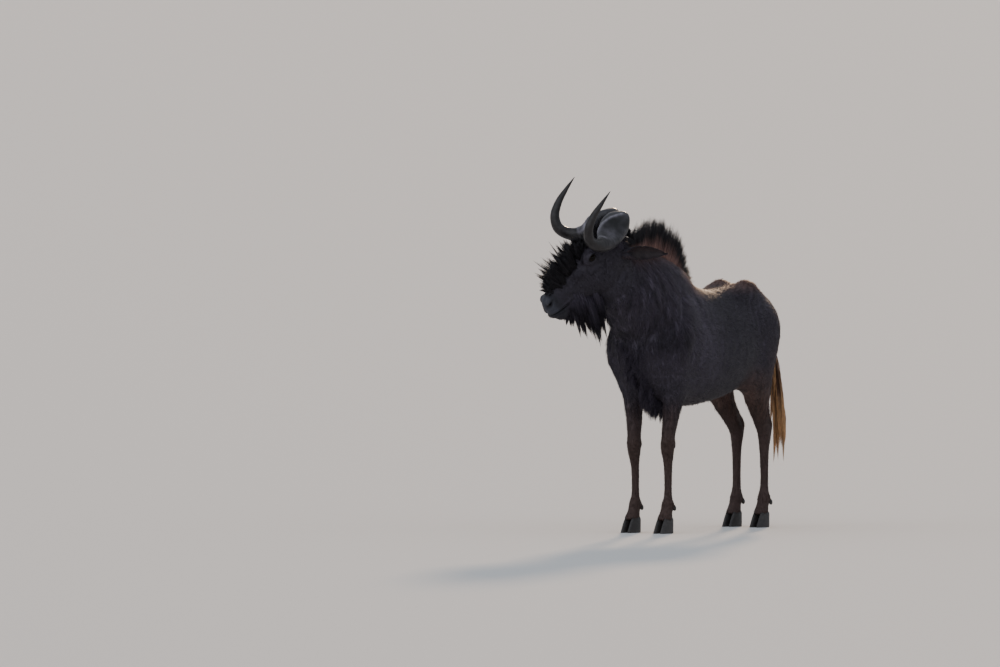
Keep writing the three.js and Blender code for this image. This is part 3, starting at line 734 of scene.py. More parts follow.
# Root and tip lines of the long hair, with how far each strays to the side, in millimetres
MANE = (
    ((612, 10, 1180), (604, 10, 1222), (20, 26)), ((545, 4, 1146), (536, 4, 1234), (24, 30)),
    ((465, 0, 1132), (452, 0, 1274), (26, 32)), ((376, 0, 1112), (340, 0, 1314), (26, 32)),
    ((306, 0, 1086), (230, 0, 1292), (26, 30)), ((254, 0, 1064), (150, 0, 1246), (24, 28)),
    ((214, 0, 1046), (100, 0, 1184), (20, 20)), ((178, 0, 1030), (62, 0, 1104), (16, 15)),
    ((140, 0, 1016), (30, 0, 1046), (12, 10)),
)
BRUSH = (
    ((-30, 0, 44), (-38, 0, 82), (38, 40)), ((6, 0, 36), (-4, 0, 92), (40, 46)),
    ((50, 0, 24), (44, 0, 118), (42, 54)), ((104, 0, 10), (112, 0, 120), (42, 56)),
    ((158, 0, -4), (178, 0, 94), (40, 52)), ((196, 0, -14), (220, 0, 46), (36, 42)),
    ((218, 0, -24), (244, 0, 2), (28, 32)),
)
POLL = (
    ((-48, 0, 44), (-50, 0, 84), (34, 34)), ((-98, 0, 38), (-106, 0, 94), (24, 26)),
    ((-146, 0, 22), (-160, 0, 92), (24, 26)), ((-172, 0, -4), (-206, 0, 62), (32, 36)),
    ((-184, 0, -36), (-206, 0, -4), (52, 56)), ((-190, 0, -62), (-214, 0, -44), (58, 62)),
)
BEARD = (
    ((216, 0, -122), (240, 0, -196), (30, 26)), ((184, 0, -122), (220, 0, -250), (38, 32)),
    ((142, 0, -128), (200, 0, -284), (42, 32)), ((96, 0, -142), (190, 0, -384), (46, 22)),
    ((50, 0, -158), (128, 0, -330), (46, 26)),
)
FRINGE = (
    ((478, 0, 830), (540, 0, 752), (52, 58)), ((452, 0, 740), (526, 0, 652), (50, 54)),
    ((410, 0, 660), (478, 0, 560), (40, 42)), ((350, 0, 590), (396, 0, 462), (30, 28)),
    ((270, 0, 560), (296, 0, 446), (24, 22)), ((190, 0, 550), (190, 0, 484), (20, 16)),
)
TAIL_HAIR = (
    ((-524, 2, 878), (-564, 14, 700), (26, 30)), ((-554, 10, 826), (-588, 24, 560), (22, 38)),
    ((-564, 20, 750), (-584, 38, 430), (16, 50)), ((-568, 30, 680), (-576, 52, 340), (16, 56)),
    ((-570, 40, 610), (-572, 58, 280), (14, 52)), ((-571, 47, 550), (-568, 60, 236), (11, 38)),
)


# Length of a tuft on the trunk, and how far under the skin it starts
TUFT_LENGTH = 0.021
TUFT_SUNK = 0.0012


def lie(p, normal):
    """Direction in which the short coat lies: back along the trunk, down the neck, limbs and face."""
    x, _, z = p.T
    h = to_head(p) / MM
    flow = np.tile(np.array([-1.0, 0, -0.3]), (len(p), 1))
    cheek = ease(20, -60, h[:, 2])
    face = np.stack([1 - 0.75 * cheek, np.zeros(len(p)), -0.9 * cheek], 1) @ HEAD.T
    near_head = head_zone(h, -170, -110, 190, 150) * ease(0.5, 0.6, x)
    for direction, share in (
        (np.array([-0.35, 0, -1.0]), ease(-0.2, -0.36, x) * ease(1.0, 0.86, z)),
        (np.array([-0.12, 0, -1.0]), ease(0.2, 0.42, x)),
        (np.array([0, 0, -1.0]), ease(0.6, 0.5, z)),
        (face, near_head),
    ):
        flow = mixed(flow, direction, share)
    flow += 0.18 * np.stack([lumps(p, 0.16, 31), lumps(p, 0.14, 32), lumps(p, 0.15, 33)], 1)
    return along_surface(flow, normal)


def coat_length(p):
    """Length of the tufts: longest on neck, throat and belly, shortest on face and feet."""
    x, _, z = p.T
    h = to_head(p) / MM
    length = np.full(len(p), TUFT_LENGTH)
    length += 0.009 * ease(0.28, 0.45, x) * ease(0.7, 0.8, z)
    length += 0.008 * ease(0.6, 0.54, z) * ease(0.48, 0.52, z)
    length -= 0.008 * ease(0.5, 0.4, z)
    length -= 0.003 * ease(0.15, 0.08, z)
    on_head = head_zone(h, -140, -90, 170, 140) * ease(0.5, 0.6, x)
    length += on_head * (0.013 - length)
    length -= on_head * 0.006 * ease(120, 220, h[:, 0])
    return length


def coat_density(p):
    """Share of the full number of tufts, by place; none on the wet muzzle, the eyes and the soles."""
    h = to_head(p) / MM
    dense = TUFT_LENGTH / np.maximum(coat_length(p), 0.006)
    bare = ease(226, 244, h[:, 0]) * ease(-100, -84, h[:, 2]) * ease(90, 80, np.abs(h[:, 1]))
    dense *= 1 - bare
    for side in SIDES.values():
        away = np.linalg.norm(h - eye_at(side), axis=1)
        dense *= ease(EYE_RADIUS + 3, EYE_RADIUS + 9, away)
    return dense * ease(0.056, 0.062, p[:, 2])


def scatter(piece, density, rng):
    """Random roots over a mesh: faces drawn by area times density, a random place in each."""
    co, tris, normals = surface(piece)
    corners = co[tris] - ORIGIN
    one, two = corners[:, 1] - corners[:, 0], corners[:, 2] - corners[:, 0]
    area = np.linalg.norm(np.cross(one, two), axis=1) / 2
    expected = area * density(corners.mean(1))
    count = int(expected.sum())
    chosen = rng.choice(len(tris), count, p=expected / expected.sum())
    w = rng.dirichlet((1, 1, 1), count)
    point = np.einsum("ij,ijk->ik", w, corners[chosen])
    return point, unit(np.einsum("ij,ijk->ik", w, normals[tris[chosen]]))


def tufts(name, root, normal, direction, length, width, tint, rng, rise=0.09, segments=1):
    """Short hair lying along `direction`: from just under the skin to a tip a little above it.

    The tip is root + direction * length + normal * height, and the middle lies under its half way.
    """
    n = len(root)
    start = root - normal * TUFT_SUNK
    height = length * rise * rng.uniform(0.5, 1.5, n)
    tip = root + direction * length[:, None] + normal * height[:, None]
    middle = root + direction * (length * 0.5)[:, None] + normal * (height * 0.9)[:, None]
    flat = unit(np.cross(direction, normal) + rng.normal(0, 0.12, (n, 3)))
    shade = rng.uniform(0.88, 1.14, (n, 1))
    tints = (tint * shade * 0.94, tint * shade * 1.08, np.full(n, 0.5))
    return strands(name, start, middle, tip, width, flat, tints, skin_chart(root), segments, 0.3, 1.8)


# Materials

def new_material(name):
    """A node material, with its nodes, its links and its shader."""
    material = bpy.data.materials.new(name)
    material.use_nodes = True
    nodes = material.node_tree.nodes
    return material, nodes, material.node_tree.links, nodes["Principled BSDF"]


def set_inputs(node, **values):
    """Sets a node's inputs; an underscore stands for a space in an input's name."""
    for name, value in values.items():
        node.inputs[name.replace("_", " ")].default_value = value
    return node


def tinted(nodes, links, shader, low, high, scale, detail=4.0):
    """Base colour: the mesh's own tint times a noise in object space between `low` and `high`."""
    tint = nodes.new("ShaderNodeAttribute")
    tint.attribute_name = "tint"
    place = nodes.new("ShaderNodeTexCoord")
    noise = set_inputs(nodes.new("ShaderNodeTexNoise"), Scale=scale, Detail=detail)
    span = nodes.new("ShaderNodeMapRange")
    set_inputs(span, From_Min=0.3, From_Max=0.7, To_Min=low, To_Max=high)
    product = nodes.new("ShaderNodeVectorMath")
    product.operation = "SCALE"
    links.new(place.outputs["Object"], noise.inputs["Vector"])
    links.new(noise.outputs["Fac"], span.inputs["Value"])
    links.new(tint.outputs["Color"], product.inputs[0])
    links.new(span.outputs["Result"], product.inputs["Scale"])
    links.new(product.outputs["Vector"], shader.inputs["Base Color"])
    return place, noise


def bumped(nodes, links, shader, place, scale, strength, distance, detail=3.0, stretch=(1.0, 1.0, 1.0)):
    """Fine relief: a noise in object space, stretched along the axes, as the shader's normal."""
    mapping = set_inputs(nodes.new("ShaderNodeMapping"), Scale=stretch)
    noise = set_inputs(nodes.new("ShaderNodeTexNoise"), Scale=scale, Detail=detail)
    bump = set_inputs(nodes.new("ShaderNodeBump"), Strength=strength, Distance=distance)
    links.new(place.outputs["Object"], mapping.inputs["Vector"])
    links.new(mapping.outputs["Vector"], noise.inputs["Vector"])
    links.new(noise.outputs["Fac"], bump.inputs["Height"])
    links.new(bump.outputs["Normal"], shader.inputs["Normal"])


def hide_material():
    """Skin under the coat: its tint, with short hair as a bump stretched down the body."""
    material, nodes, links, shader = new_material("wildebeest_hide")
    place, _ = tinted(nodes, links, shader, 0.85, 1.15, 90.0)
    bumped(nodes, links, shader, place, 160.0, 0.55, 0.0012, stretch=(1.0, 1.0, 0.35))
    set_inputs(shader, Roughness=0.62, Specular_IOR_Level=0.25)
    return material


def hair_material(name, roughness, sheen=0.0):
    """Hair: its tint from root to tip, with little gloss."""
    material, nodes, links, shader = new_material(name)
    tinted(nodes, links, shader, 0.88, 1.14, 60.0, 2.0)
    set_inputs(
        shader, Roughness=roughness, Specular_IOR_Level=0.22, Sheen_Weight=sheen, Sheen_Roughness=0.45)
    return material


def horn_material():
    """Charcoal horn: its tint over fine grain, rougher and smoother by the same noise."""
    material, nodes, links, shader = new_material("wildebeest_horn")
    place, noise = tinted(nodes, links, shader, 0.7, 1.35, 55.0, 6.0)
    bumped(nodes, links, shader, place, 240.0, 0.35, 0.0006, 4.0)
    rough = set_inputs(nodes.new("ShaderNodeMapRange"), To_Min=0.26, To_Max=0.44)
    links.new(noise.outputs["Fac"], rough.inputs["Value"])
    links.new(rough.outputs["Result"], shader.inputs["Roughness"])
    set_inputs(shader, Specular_IOR_Level=0.3)
    return material


def hoof_material():
    """Hoof wall: its tint, with a bump in level bands."""
    material, nodes, links, shader = new_material("wildebeest_hoof")
    place, _ = tinted(nodes, links, shader, 0.75, 1.25, 70.0, 5.0)
    bumped(nodes, links, shader, place, 120.0, 0.4, 0.0008, 4.0, (0.3, 0.3, 2.5))
    set_inputs(shader, Roughness=0.5)
    return material


def eye_material():
    """Wet dark eye: its tint under a smooth surface."""
    material, nodes, links, shader = new_material("wildebeest_eye")
    tinted(nodes, links, shader, 0.85, 1.15, 300.0)
    set_inputs(shader, Roughness=0.12, Specular_IOR_Level=0.12)
    return material


# Sizes and colours that a user would change

def colour_setting(name, description, default):
    """A colour that a user may change."""
    return FloatVectorProperty(
        name=name, description=description, default=default, subtype="COLOR", size=3, min=0, max=1)


def length_setting(name, description, default, least=0.0):
    """A length that a user may change, in metres."""
    return FloatProperty(name=name, description=description, default=default, min=least, unit="LENGTH")


def number_setting(name, description, default):
    """A number of hairs that a user may change."""
    return IntProperty(name=name, description=description, default=default, min=10)


def light_setting(name, description, default):
    """A light's strength that a user may change."""
    return FloatProperty(name=name, description=description, default=default, min=0)


class WildebeestCoat(bpy.types.PropertyGroup):
    """Skin and short coat"""
    # Coat: near-black brown, with a cool blue cast that is painted sky light
    coat: colour_setting("Coat", "Colour of the short coat", (0.0334, 0.0274, 0.0384))
    # Reddish brown at the crest under the mane; on back and rump it is painted warm rim light
    rust_and_rim_light: colour_setting("Rust", "Colour of back, rump and crest", (0.130, 0.068, 0.054))
    leg: colour_setting("Legs", "Colour of the lower legs", (0.067, 0.038, 0.029))
    # Muzzle: dark grey, with a cool blue cast that is painted sky light
    muzzle: colour_setting("Muzzle", "Colour of the bare muzzle", (0.029, 0.029, 0.038))
    depth: length_setting("Coat depth", "How far the skin lies inside the solids", 0.007)
    tuft_density: FloatProperty(
        name="Tufts", description="Tufts for a square metre of trunk", default=62000, min=100)
    tuft_width: length_setting("Tuft width", "Width of a tuft at its root", 0.0032)
    voxel: length_setting("Skin cell", "Cell of the joined skin", 0.0075, 0.003)
    full: BoolProperty(
        name="Full coat", description="Full number of tufts and hairs", default=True)


class WildebeestHair(bpy.types.PropertyGroup):
    """Long hair"""
    mane_root: colour_setting("Mane root", "Colour at the foot of the mane", (0.26, 0.145, 0.122))
    black: colour_setting("Black", "Colour of mane tips, brush and lashes", (0.0170, 0.0148, 0.0172))
    # Tail root and tip: pale tail hair, made orange and bright as painted warm back light
    tail_root: colour_setting("Tail root", "Colour at the root of the tail hair", (0.110, 0.060, 0.040))
    tail_tip: colour_setting("Tail tip", "Colour at the tips of the tail hair", (0.66, 0.38, 0.19))
    neck: number_setting("Neck locks", "Long locks on the neck", 13000)
    mane: number_setting("Mane hairs", "Hairs in the mane", 9500)
    brush: number_setting("Face hairs", "Hairs in the face brush", 7000)
    poll: number_setting("Poll hairs", "Hairs in the tuft between the horns", 3600)
    beard: number_setting("Beard hairs", "Hairs in the beard", 6500)
    fringe: number_setting("Chest hairs", "Hairs in the chest fringe", 6500)
    tail: number_setting("Tail hairs", "Hairs in the tail", 7000)


class WildebeestHorn(bpy.types.PropertyGroup):
    """Horns, hooves, eyes and ears"""
    horn: colour_setting("Horn", "Colour of the horn", (0.025, 0.024, 0.028))
    hoof: colour_setting("Hoof", "Colour of the hooves", (0.022, 0.019, 0.018))
    eye: colour_setting("Eye", "Colour of the iris", (0.011, 0.006, 0.004))
    ear_wall: length_setting("Ear wall", "Thickness of the ear", 0.0036, 0.001)


class WildebeestStage(bpy.types.PropertyGroup):
    """Floor, camera and lights"""
    floor: colour_setting("Floor", "Colour of the floor", (0.62, 0.62, 0.61))
    key: light_setting("Key light", "Soft light from above the camera's left", 1.15)
    back: light_setting("Back light", "Warm light from behind", 2.1)
    fill: light_setting("Fill light", "Cool light at the camera's side", 0.22)
    world: light_setting("Sky", "Strength of the even light all round", 0.66)
    distance: length_setting("Camera distance", "From the animal to the camera", 58.0, 5)
    turn: FloatProperty(
        name="Camera turn", description="Angle from straight ahead to the animal's left",
        default=math.radians(33), unit="ROTATION")
    rise: FloatProperty(
        name="Camera rise", description="Angle of the view above level", default=math.radians(1.5),
        unit="ROTATION")


def scaled(number):
    return number if bpy.context.scene.wildebeest_coat.full else max(number // 10, 30)


# Pieces, one operator each

class MakeSkin(bpy.types.Operator):
    """Joins all flesh into one skin, smooths it, and adds folds, lips and nostrils"""
    bl_idname = "wildebeest.skin"
    bl_label = "Skin"

    def execute(self, context):
        look = context.scene.wildebeest_coat
        verts, tris = flesh_parts(look.depth, look.depth * 0.4)
        rough = new_mesh("skin_forms", verts + ORIGIN, tris)
        remesh = rough.modifiers.new("join", "REMESH")
        remesh.mode = "VOXEL"
        remesh.voxel_size = look.voxel
        evaluated = rough.evaluated_get(context.evaluated_depsgraph_get())
        mesh = bpy.data.meshes.new_from_object(evaluated)
        mesh.name = "skin"
        bpy.data.objects.remove(rough)
        skin = bpy.data.objects.new("skin", mesh)
        context.scene.collection.objects.link(skin)

        def body_weight(co):
            """Strong smoothing on the body, little on the head and none on the lower legs."""
            p = co - ORIGIN
            near_head = head_zone(to_head(p) / MM, -130, -60, 220, 180)
            return 0.55 * ease(0.42, 0.58, p[:, 2]) * (1 - 0.93 * near_head)

        relax(skin, body_weight, 46)
        relax(skin, lambda co: np.full(len(co), 0.4), 4)
        refine(skin, lambda c: head_share(c - ORIGIN) > 0.05)
        relax(skin, lambda co: np.full(len(co), 0.35), 2)
        refine(skin, lambda c: near_features(c - ORIGIN))
        co, _, normals = surface(skin)
        p = co - ORIGIN
        p = sink_eyes(p + normals * skin_relief(p)[:, None])
        skin.data.vertices.foreach_set("co", (p + ORIGIN).astype(np.float32).ravel())
        skin.data.polygons.foreach_set("use_smooth", np.ones(len(skin.data.polygons), bool))
        skin.data.update()
        # Painted shade: the skin is darker where the coat over it is dense
        under = 1 - 0.2 * np.minimum(coat_density(p), 1)
        set_colours(skin.data, coat_colour(p, look) * under[:, None])
        finish_piece(skin, hide_material(), "coat", *FLESH)
        return {"FINISHED"}


def near_features(p):
    """Where the face is fine: the muzzle's front and a disc round each eye."""
    h = to_head(p) / MM
    muzzle = (h[:, 0] > 212) & (h[:, 2] > -125)
    lips = (h[:, 0] > 158) & (np.abs(h[:, 2] + 100) < 20)
    eyes = np.zeros(len(p), bool)
    for side in SIDES.values():
        eyes |= np.linalg.norm(h - eye_at(side), axis=1) < 34
    return (muzzle | lips | eyes) & (np.abs(h[:, 1]) < 120) & (p[:, 0] > 0.6)


# Most tufts in one piece of the coat, at four triangles each
BAND_TUFTS = 46000


class MakeCoat(bpy.types.Operator):
    """Covers the skin with short tufts that lie along the body, in bands from rump to nose"""
    bl_idname = "wildebeest.coat"
    bl_label = "Coat"

    def execute(self, context):
        look = context.scene.wildebeest_coat
        rng = np.random.default_rng(101)
        skin = bpy.data.objects["skin"]
        share = look.tuft_density * (1.0 if look.full else 0.12)
        root, normal = scatter(skin, lambda p: share * coat_density(p), rng)
        direction = unit(lie(root, normal) + rng.normal(0, 0.09, root.shape))
        length = coat_length(root) * rng.uniform(0.7, 1.25, len(root))
        width = look.tuft_width * (length / TUFT_LENGTH) ** 0.6 * rng.uniform(0.8, 1.2, len(root))
        tint = coat_colour(root, look)
        number_of_bands = max(1, math.ceil(len(root) / BAND_TUFTS))
        bands = np.array_split(np.argsort(root[:, 0]), number_of_bands)
        material = hair_material("wildebeest_coat", 0.58, 0.02)
        for number, pick in enumerate(bands, 1):
            piece = tufts(
                f"coat_band_{number}", root[pick], normal[pick], direction[pick], length[pick],
                width[pick], tint[pick], rng)
            finish_piece(piece, material, "coat")
        return {"FINISHED"}


class MakeNeckHair(bpy.types.Operator):
    """Lays longer locks down the neck, throat and shoulder, in lighter and darker streaks, with painted
    sheen high up
    """
    bl_idname = "wildebeest.neck_hair"
    bl_label = "Neck hair"

    def execute(self, context):
        look, hair = context.scene.wildebeest_coat, context.scene.wildebeest_hair
        rng = np.random.default_rng(102)

        def where(p):
            """Locks for a square metre: all over the neck and shoulder, fewer near the crest."""
            x, y, z = p.T
            on_neck = ease(0.2, 0.34, x) * ease(0.62, 0.7, z) * (1 - head_share(p))
            on_side = on_neck * ease(1.16, 1.08, z) * ease(0.02, 0.06, np.abs(y))
            return on_side * 21000 * scaled(hair.neck) / 9000

        root, normal = scatter(bpy.data.objects["skin"], where, rng)
        n = len(root)
        direction = unit(lie(root, normal) + rng.normal(0, 0.06, root.shape))
        drawn = root * [1, 1, 0.1]
        streak = lumps(drawn, 0.042, 61) + 0.4 * lumps(drawn, 0.016, 62)
        length = 0.055 * (1 + 0.3 * streak) * rng.uniform(0.8, 1.25, n)
        # Lighter streaks: partly the locks' own tone, partly painted sheen, strongest high on the neck
        bright = ease(0.1, 0.9, streak) * ease(0.84, 0.96, root[:, 2])
        length = length * (0.45 + 0.55 * ease(0.66, 0.88, root[:, 2]))
        tint = coat_colour(root, look) * (0.95 + 1.0 * bright)[:, None]
        piece = tufts(
            "neck_locks", root, normal, direction, np.clip(length, 0.018, 0.08),
            rng.uniform(0.0018, 0.0032, n), tint, rng, 0.045, 2)
        finish_piece(piece, hair_material("wildebeest_neck", 0.5, 0.02), "coat")
        return {"FINISHED"}


# Long hair, each line one piece: its lines of roots and tips, its colours as a property and a factor
LONG_HAIR = {
    "mane": {
        "lines": MANE, "seed": 201, "number": "mane", "material": ("mane", 0.5), "clumps": 600,
        "reach": (0.9, 1.03), "lean": 5, "loose": 0.012, "gather": 0.6, "bow": (4, 0, 6), "width": 2.4,
        "low": ("mane_root", 1), "high": ("black", 1), "short": 0.86,
    },
    "face_brush": {
        "lines": BRUSH, "seed": 202, "number": "brush", "material": ("brush", 0.5), "clumps": 300,
        "reach": (0.62, 1.18), "lean": 11, "loose": 0.014, "gather": 0.12, "bow": (-3, 0, 6), "width": 2.1,
        "low": ("black", 1), "high": ("black", 1), "round": (0, 0, -34), "dome": 0.45, "head": True,
    },
    "poll_tuft": {
        "lines": POLL, "seed": 206, "number": "poll", "material": ("poll", 0.5), "clumps": 200,
        "reach": (0.6, 1.0), "lean": 8, "loose": 0.02, "gather": 0.4, "bow": (-4, 0, 6), "width": 2.3,
        "low": ("black", 1), "high": ("black", 1), "round": (0, 0, -18), "dome": 0.2, "head": True,
    },
    "beard": {
        "lines": BEARD, "seed": 203, "number": "beard", "material": ("beard", 0.5), "clumps": 80,
        "reach": (0.5, 1.02), "lean": 9, "loose": 0.03, "gather": 0.2, "bow": (-8, 0, -4), "width": 2.6,
        "low": ("coat", 1.5), "high": ("coat", 0.7), "wave": 5, "round": (0, 0, 62), "dome": 0.2,
        "short": 0.8, "head": True,
    },
    # Chest fringe: coat colour raised, most at the roots, as painted light against the shade inside the
    # fringe
    "chest_fringe": {
        "lines": FRINGE, "seed": 204, "number": "fringe", "material": ("fringe", 0.52), "clumps": 120,
        "reach": (0.55, 1.0), "lean": 8, "loose": 0.025, "gather": 0.3, "bow": (8, 0, -5), "width": 2.8,
        "low": ("coat", 2.1), "high": ("coat", 1.4), "wave": 5, "round": (-26, 0, 12), "dome": 0.25,
        "short": 0.75,
    },
    "tail_hair": {
        "lines": TAIL_HAIR, "seed": 205, "number": "tail", "material": ("tail", 0.45), "clumps": 80,
        "reach": (0.72, 1.0), "lean": 10, "loose": 0.04, "gather": 0.4, "bow": (-16, 6, 0), "width": 2.9,
        "low": ("tail_root", 1), "high": ("tail_tip", 1), "wave": 8, "short": 0.7, "segments": 4,
        "across": (0.5, 0.87, 0), "slot": "tail_hair",
    },
}


class MakeLongHair(bpy.types.Operator):
    """Stands up the mane, the face brush and the poll tuft, and hangs beard, chest fringe and tail hair"""
    bl_idname = "wildebeest.long_hair"
    bl_label = "Mane, brush, beard, fringe and tail"

    def execute(self, context):
        coat, hair = context.scene.wildebeest_coat, context.scene.wildebeest_hair

        def shade(name, factor):
            """One of the user's colours, made brighter or darker."""
            return np.array(coat.coat if name == "coat" else getattr(hair, name)) * factor

        for name, look in LONG_HAIR.items():
            material, roughness = look["material"]
            count = scaled(getattr(hair, look["number"]))
            piece = hair_field(name, look, count, shade(*look["low"]), shade(*look["high"]))
            finish_piece(
                piece, hair_material(f"wildebeest_{material}", roughness), look.get("slot", "coat"))
        return {"FINISHED"}


# Ears, eyes, horns and hooves, in the head frame or the body frame, in millimetres

EAR = {"root": (-108, 70, -74), "tip": (-250, 130, -182), "deep": 30, "wide": 22}
EAR_INNER = (0.032, 0.022, 0.021)
EAR_UNDER_HAIR = (0.05, 0.024, 0.018)
EAR_OUTLINE = ((0, 0.55), (0.14, 0.82), (0.34, 1.0), (0.56, 0.96), (0.78, 0.62), (1, 0.06))
HORN = (
    (-216, 30, 22, 22, 14), (-194, 44, 30, 50, 30), (-152, 64, 34, 60, 38), (-108, 94, 28, 52, 36),
    (-68, 130, 32, 36, 30), (-33, 160, 58, 27, 25), (-15, 178, 102, 23.5, 22), (-36, 190, 148, 20, 19),
    (-84, 196, 180, 15, 15), (-140, 199, 199, 9, 9), (-203, 200, 216, 1.2, 1.2),
)
TOE = ((66, -6, 24, 9), (57, -3, 30, 12.5), (40, 3, 35, 14.5), (14, 10, 42, 15.5), (3, 13, 45, 15.5),
       (0, 13, 43.6, 14.4))
FEET = {"fore": (368, 80), "hind": (-404, 68)}
TOE_APART = 17
DEWCLAWS = {"fore": (318, 80, 106), "hind": (-457, 68, 106)}
DEWCLAW_HALF = (11, 8, 14)
EYE_WHITE = (0.012, 0.009, 0.008)
LID_OPEN = (17.0, 10.5)
LID_OUTER = (38.0, 29.0)
LID_SLANT = 2.5
LASHES = 90
# Share of the way from the lid's opening to its outer edge, and its height over the eyeball there
LID_PROFILE = (
    (-0.06, -2.5), (0.0, 0.4), (0.03, 1.8), (0.09, 3.0), (0.17, 3.6), (0.27, 3.4), (0.4, 2.6),
    (0.56, 1.6), (0.76, 0.5), (1.0, 0.0),
)


def ear_shell(side, wall, sides=26, steps=40):
    """A cupped ear: a C-shaped ring, thick as `wall`, carried from root to tip.

    The ring is an oval about the ear's axis whose half sizes follow the outline. It is open
    towards the side and top by an angle that grows from nothing at the root to a quarter turn.
    """
    root, tip = (np.array(EAR[end], float) * [1, side, 1] for end in ("root", "tip"))
    t = np.linspace(0, 1, steps)
    along = unit(tip - root)
    upright = np.array([-0.45, 0, 0.9])
    deepwards = unit(upright - along * (along @ upright))
    across = np.cross(deepwards, along)
    towards = np.array([2, 15 * side, 9.0])
    opening = math.atan2(towards @ across, towards @ deepwards)
    table = np.array(EAR_OUTLINE, float)
    full = np.interp(t, table[:, 0], smooth_line(table, np.linspace(0, 1, len(table)))[:, 1])
    full = np.sqrt(np.maximum(full, 0.02)) * np.sqrt(full)
    gap = math.radians(82) * ease(0.1, 0.36, t) * ease(1.08, 0.86, t) + 0.02
    k = np.linspace(0, 1, sides)
    turn = opening + gap[:, None] + (2 * np.pi - 2 * gap[:, None]) * k
    edge = np.sin(np.pi * k) ** 0.3
    thin = wall * np.minimum(1, full * 3)[:, None] * (0.35 + 0.65 * edge)
    centre = root + (tip - root) * t[:, None]
    centre += deepwards * (5 * np.sin(np.pi * t))[:, None]

    def ring(shrink):
        """The ear's ovals, drawn in by `shrink`."""
        deep = np.maximum(EAR["deep"] * full[:, None] - shrink, 0.4) * np.cos(turn)
        wide = np.maximum(EAR["wide"] * full[:, None] - shrink, 0.4) * np.sin(turn)
        return centre[:, None] + deepwards * deep[..., None] + across * wide[..., None]

    rings = np.concatenate([ring(0.0 * thin), ring(thin)[:, ::-1]], 1)
    verts = np.vstack([rings.reshape(-1, 3), rings[0].mean(0), rings[-1].mean(0)])
    verts, tris = closed_rings(verts, steps, 2 * sides)
    inside = np.concatenate([np.tile(np.repeat([0.0, 1.0], sides), steps), [0, 0]])
    place = np.concatenate([np.repeat(t, 2 * sides), [0, 1]])
    return from_head(verts * MM), tris, inside, place


class MakeEars(bpy.types.Operator):
    """Shapes the two cupped ears with short hair on their backs and rims"""
    bl_idname = "wildebeest.ears"
    bl_label = "Ears"

    def execute(self, context):
        look, sizes = context.scene.wildebeest_coat, context.scene.wildebeest_horn
        material, hair = hide_material(), hair_material("wildebeest_ear_hair", 0.5, 0.02)
        rng = np.random.default_rng(301)
        for name, side in SIDES.items():
            verts, tris, inside, place = ear_shell(side, sizes.ear_wall / MM)
            tone = np.array(look.coat) * 0.6
            colours = mixed(tone, np.array(EAR_INNER), inside * ease(0.1, 0.3, place) * 0.7)
            ear = new_mesh(f"ear_{name}_cup", verts + ORIGIN, tris, colours)
            finish_piece(ear, material, "coat", f"ear_{name}")
            density = 160000.0 if look.full else 9000.0
            root, normal = scatter(ear, lambda p: np.full(len(p), density), rng)
            ends = (from_head(np.array(EAR[end]) * [MM, side * MM, MM]) for end in ("root", "tip"))
            axis = -np.subtract(*ends)
            direction = unit(unit(axis) + rng.normal(0, 0.22, root.shape))
            direction = along_surface(direction, normal)
            n = len(root)
            below = unit(normal)[:, 2] < -0.35
            tint = np.tile(tone * 1.1, (n, 1)) * rng.uniform(0.8, 1.4, (n, 1))
            tint[below] += np.array(EAR_UNDER_HAIR)
            piece = tufts(
                f"ear_{name}_hair", root, normal, direction, rng.uniform(0.007, 0.013, n),
                rng.uniform(0.0018, 0.0028, n), tint, rng, 0.07)
            finish_piece(piece, hair, "coat")
        return {"FINISHED"}


def eye_ball(side, look, rings=40, sides=56):
    """A ball with its pole towards the side; iris and a wide level pupil by distance from the pole."""
    verts, tris = egg((0, 0, 0), (1, 1, 1), sides, rings)
    h = verts @ np.array([[1, 0, 0], [0, 0, 1], [0, 1, 0]]) * EYE_RADIUS
    a, b, g = h.T
    pupil = ease(1.15, 0.9, np.hypot(a / 9.0, g / 5.2)) * (b * side > 0)
    iris = ease(14.5, 12.0, np.hypot(a, g)) * (b * side > 0)
    colours = mixed(np.array(EYE_WHITE), np.array(look.eye), iris) * (1 - 0.92 * pupil)[:, None]
    return outward(from_head((h + eye_at(side)) * MM), tris[:, ::-1]), colours


def lid_ring(side, around=72):
    """Fleshy eyelids: rings that run from the almond opening out to an oval buried in the skin.

    At share s the ring's half sizes go from the opening's to the outer oval's, and its height over
    the head is that of a ball a little larger than the eye, or of a slope to the skin, whichever
    is the greater. The last ring turns back inside, so the shape is closed.
    """
    share, thick = np.array(LID_PROFILE).T[..., None]
    turn = np.linspace(0, 2 * np.pi, around, endpoint=False)[None, :]
    c, d = np.cos(turn), np.sin(turn)
    out = np.clip(share, 0, 1)
    almond = np.abs(d) ** (0.35 * (1 - out))
    a = (LID_OPEN[0] + share * (LID_OUTER[0] - LID_OPEN[0])) * c
    g = (LID_OPEN[1] * np.where(d > 0, 1.05, 0.85) + share * (LID_OUTER[1] - LID_OPEN[1])) * d * almond
    g = g - LID_SLANT * c * (1 - out)
    ball = np.sqrt(np.clip((EYE_RADIUS + thick) ** 2 - a**2 - g**2, 0, None))
    slope = 9.0 - 19.0 * out ** 1.1 + 0.8 * np.cos(share * 34)
    high = np.where(share > 0.1, np.maximum(ball, slope), ball)
    rows = np.stack([a, high * side, g], -1)
    under = rows[-1] * [0.8, 1, 0.8] - [0, side * 6, 0]
    inner = rows[0] * [1.0, 0.7, 1.0]
    rings = np.concatenate([rows, under[None], inner[None]])
    verts = (rings.reshape(-1, 3) + eye_at(side)) * MM
    j, base = np.arange(around), (len(rings) - 1) * around
    after = (j + 1) % around
    close = np.stack([base + j, base + after, after, j], -1)
    tris = halves(np.vstack([ring_faces(len(rings), around), close]))
    dark = np.repeat(np.concatenate([ease(0.3, 0.05, share[:, 0]), [0, 1]]), around)
    return *outward(from_head(verts), tris), dark


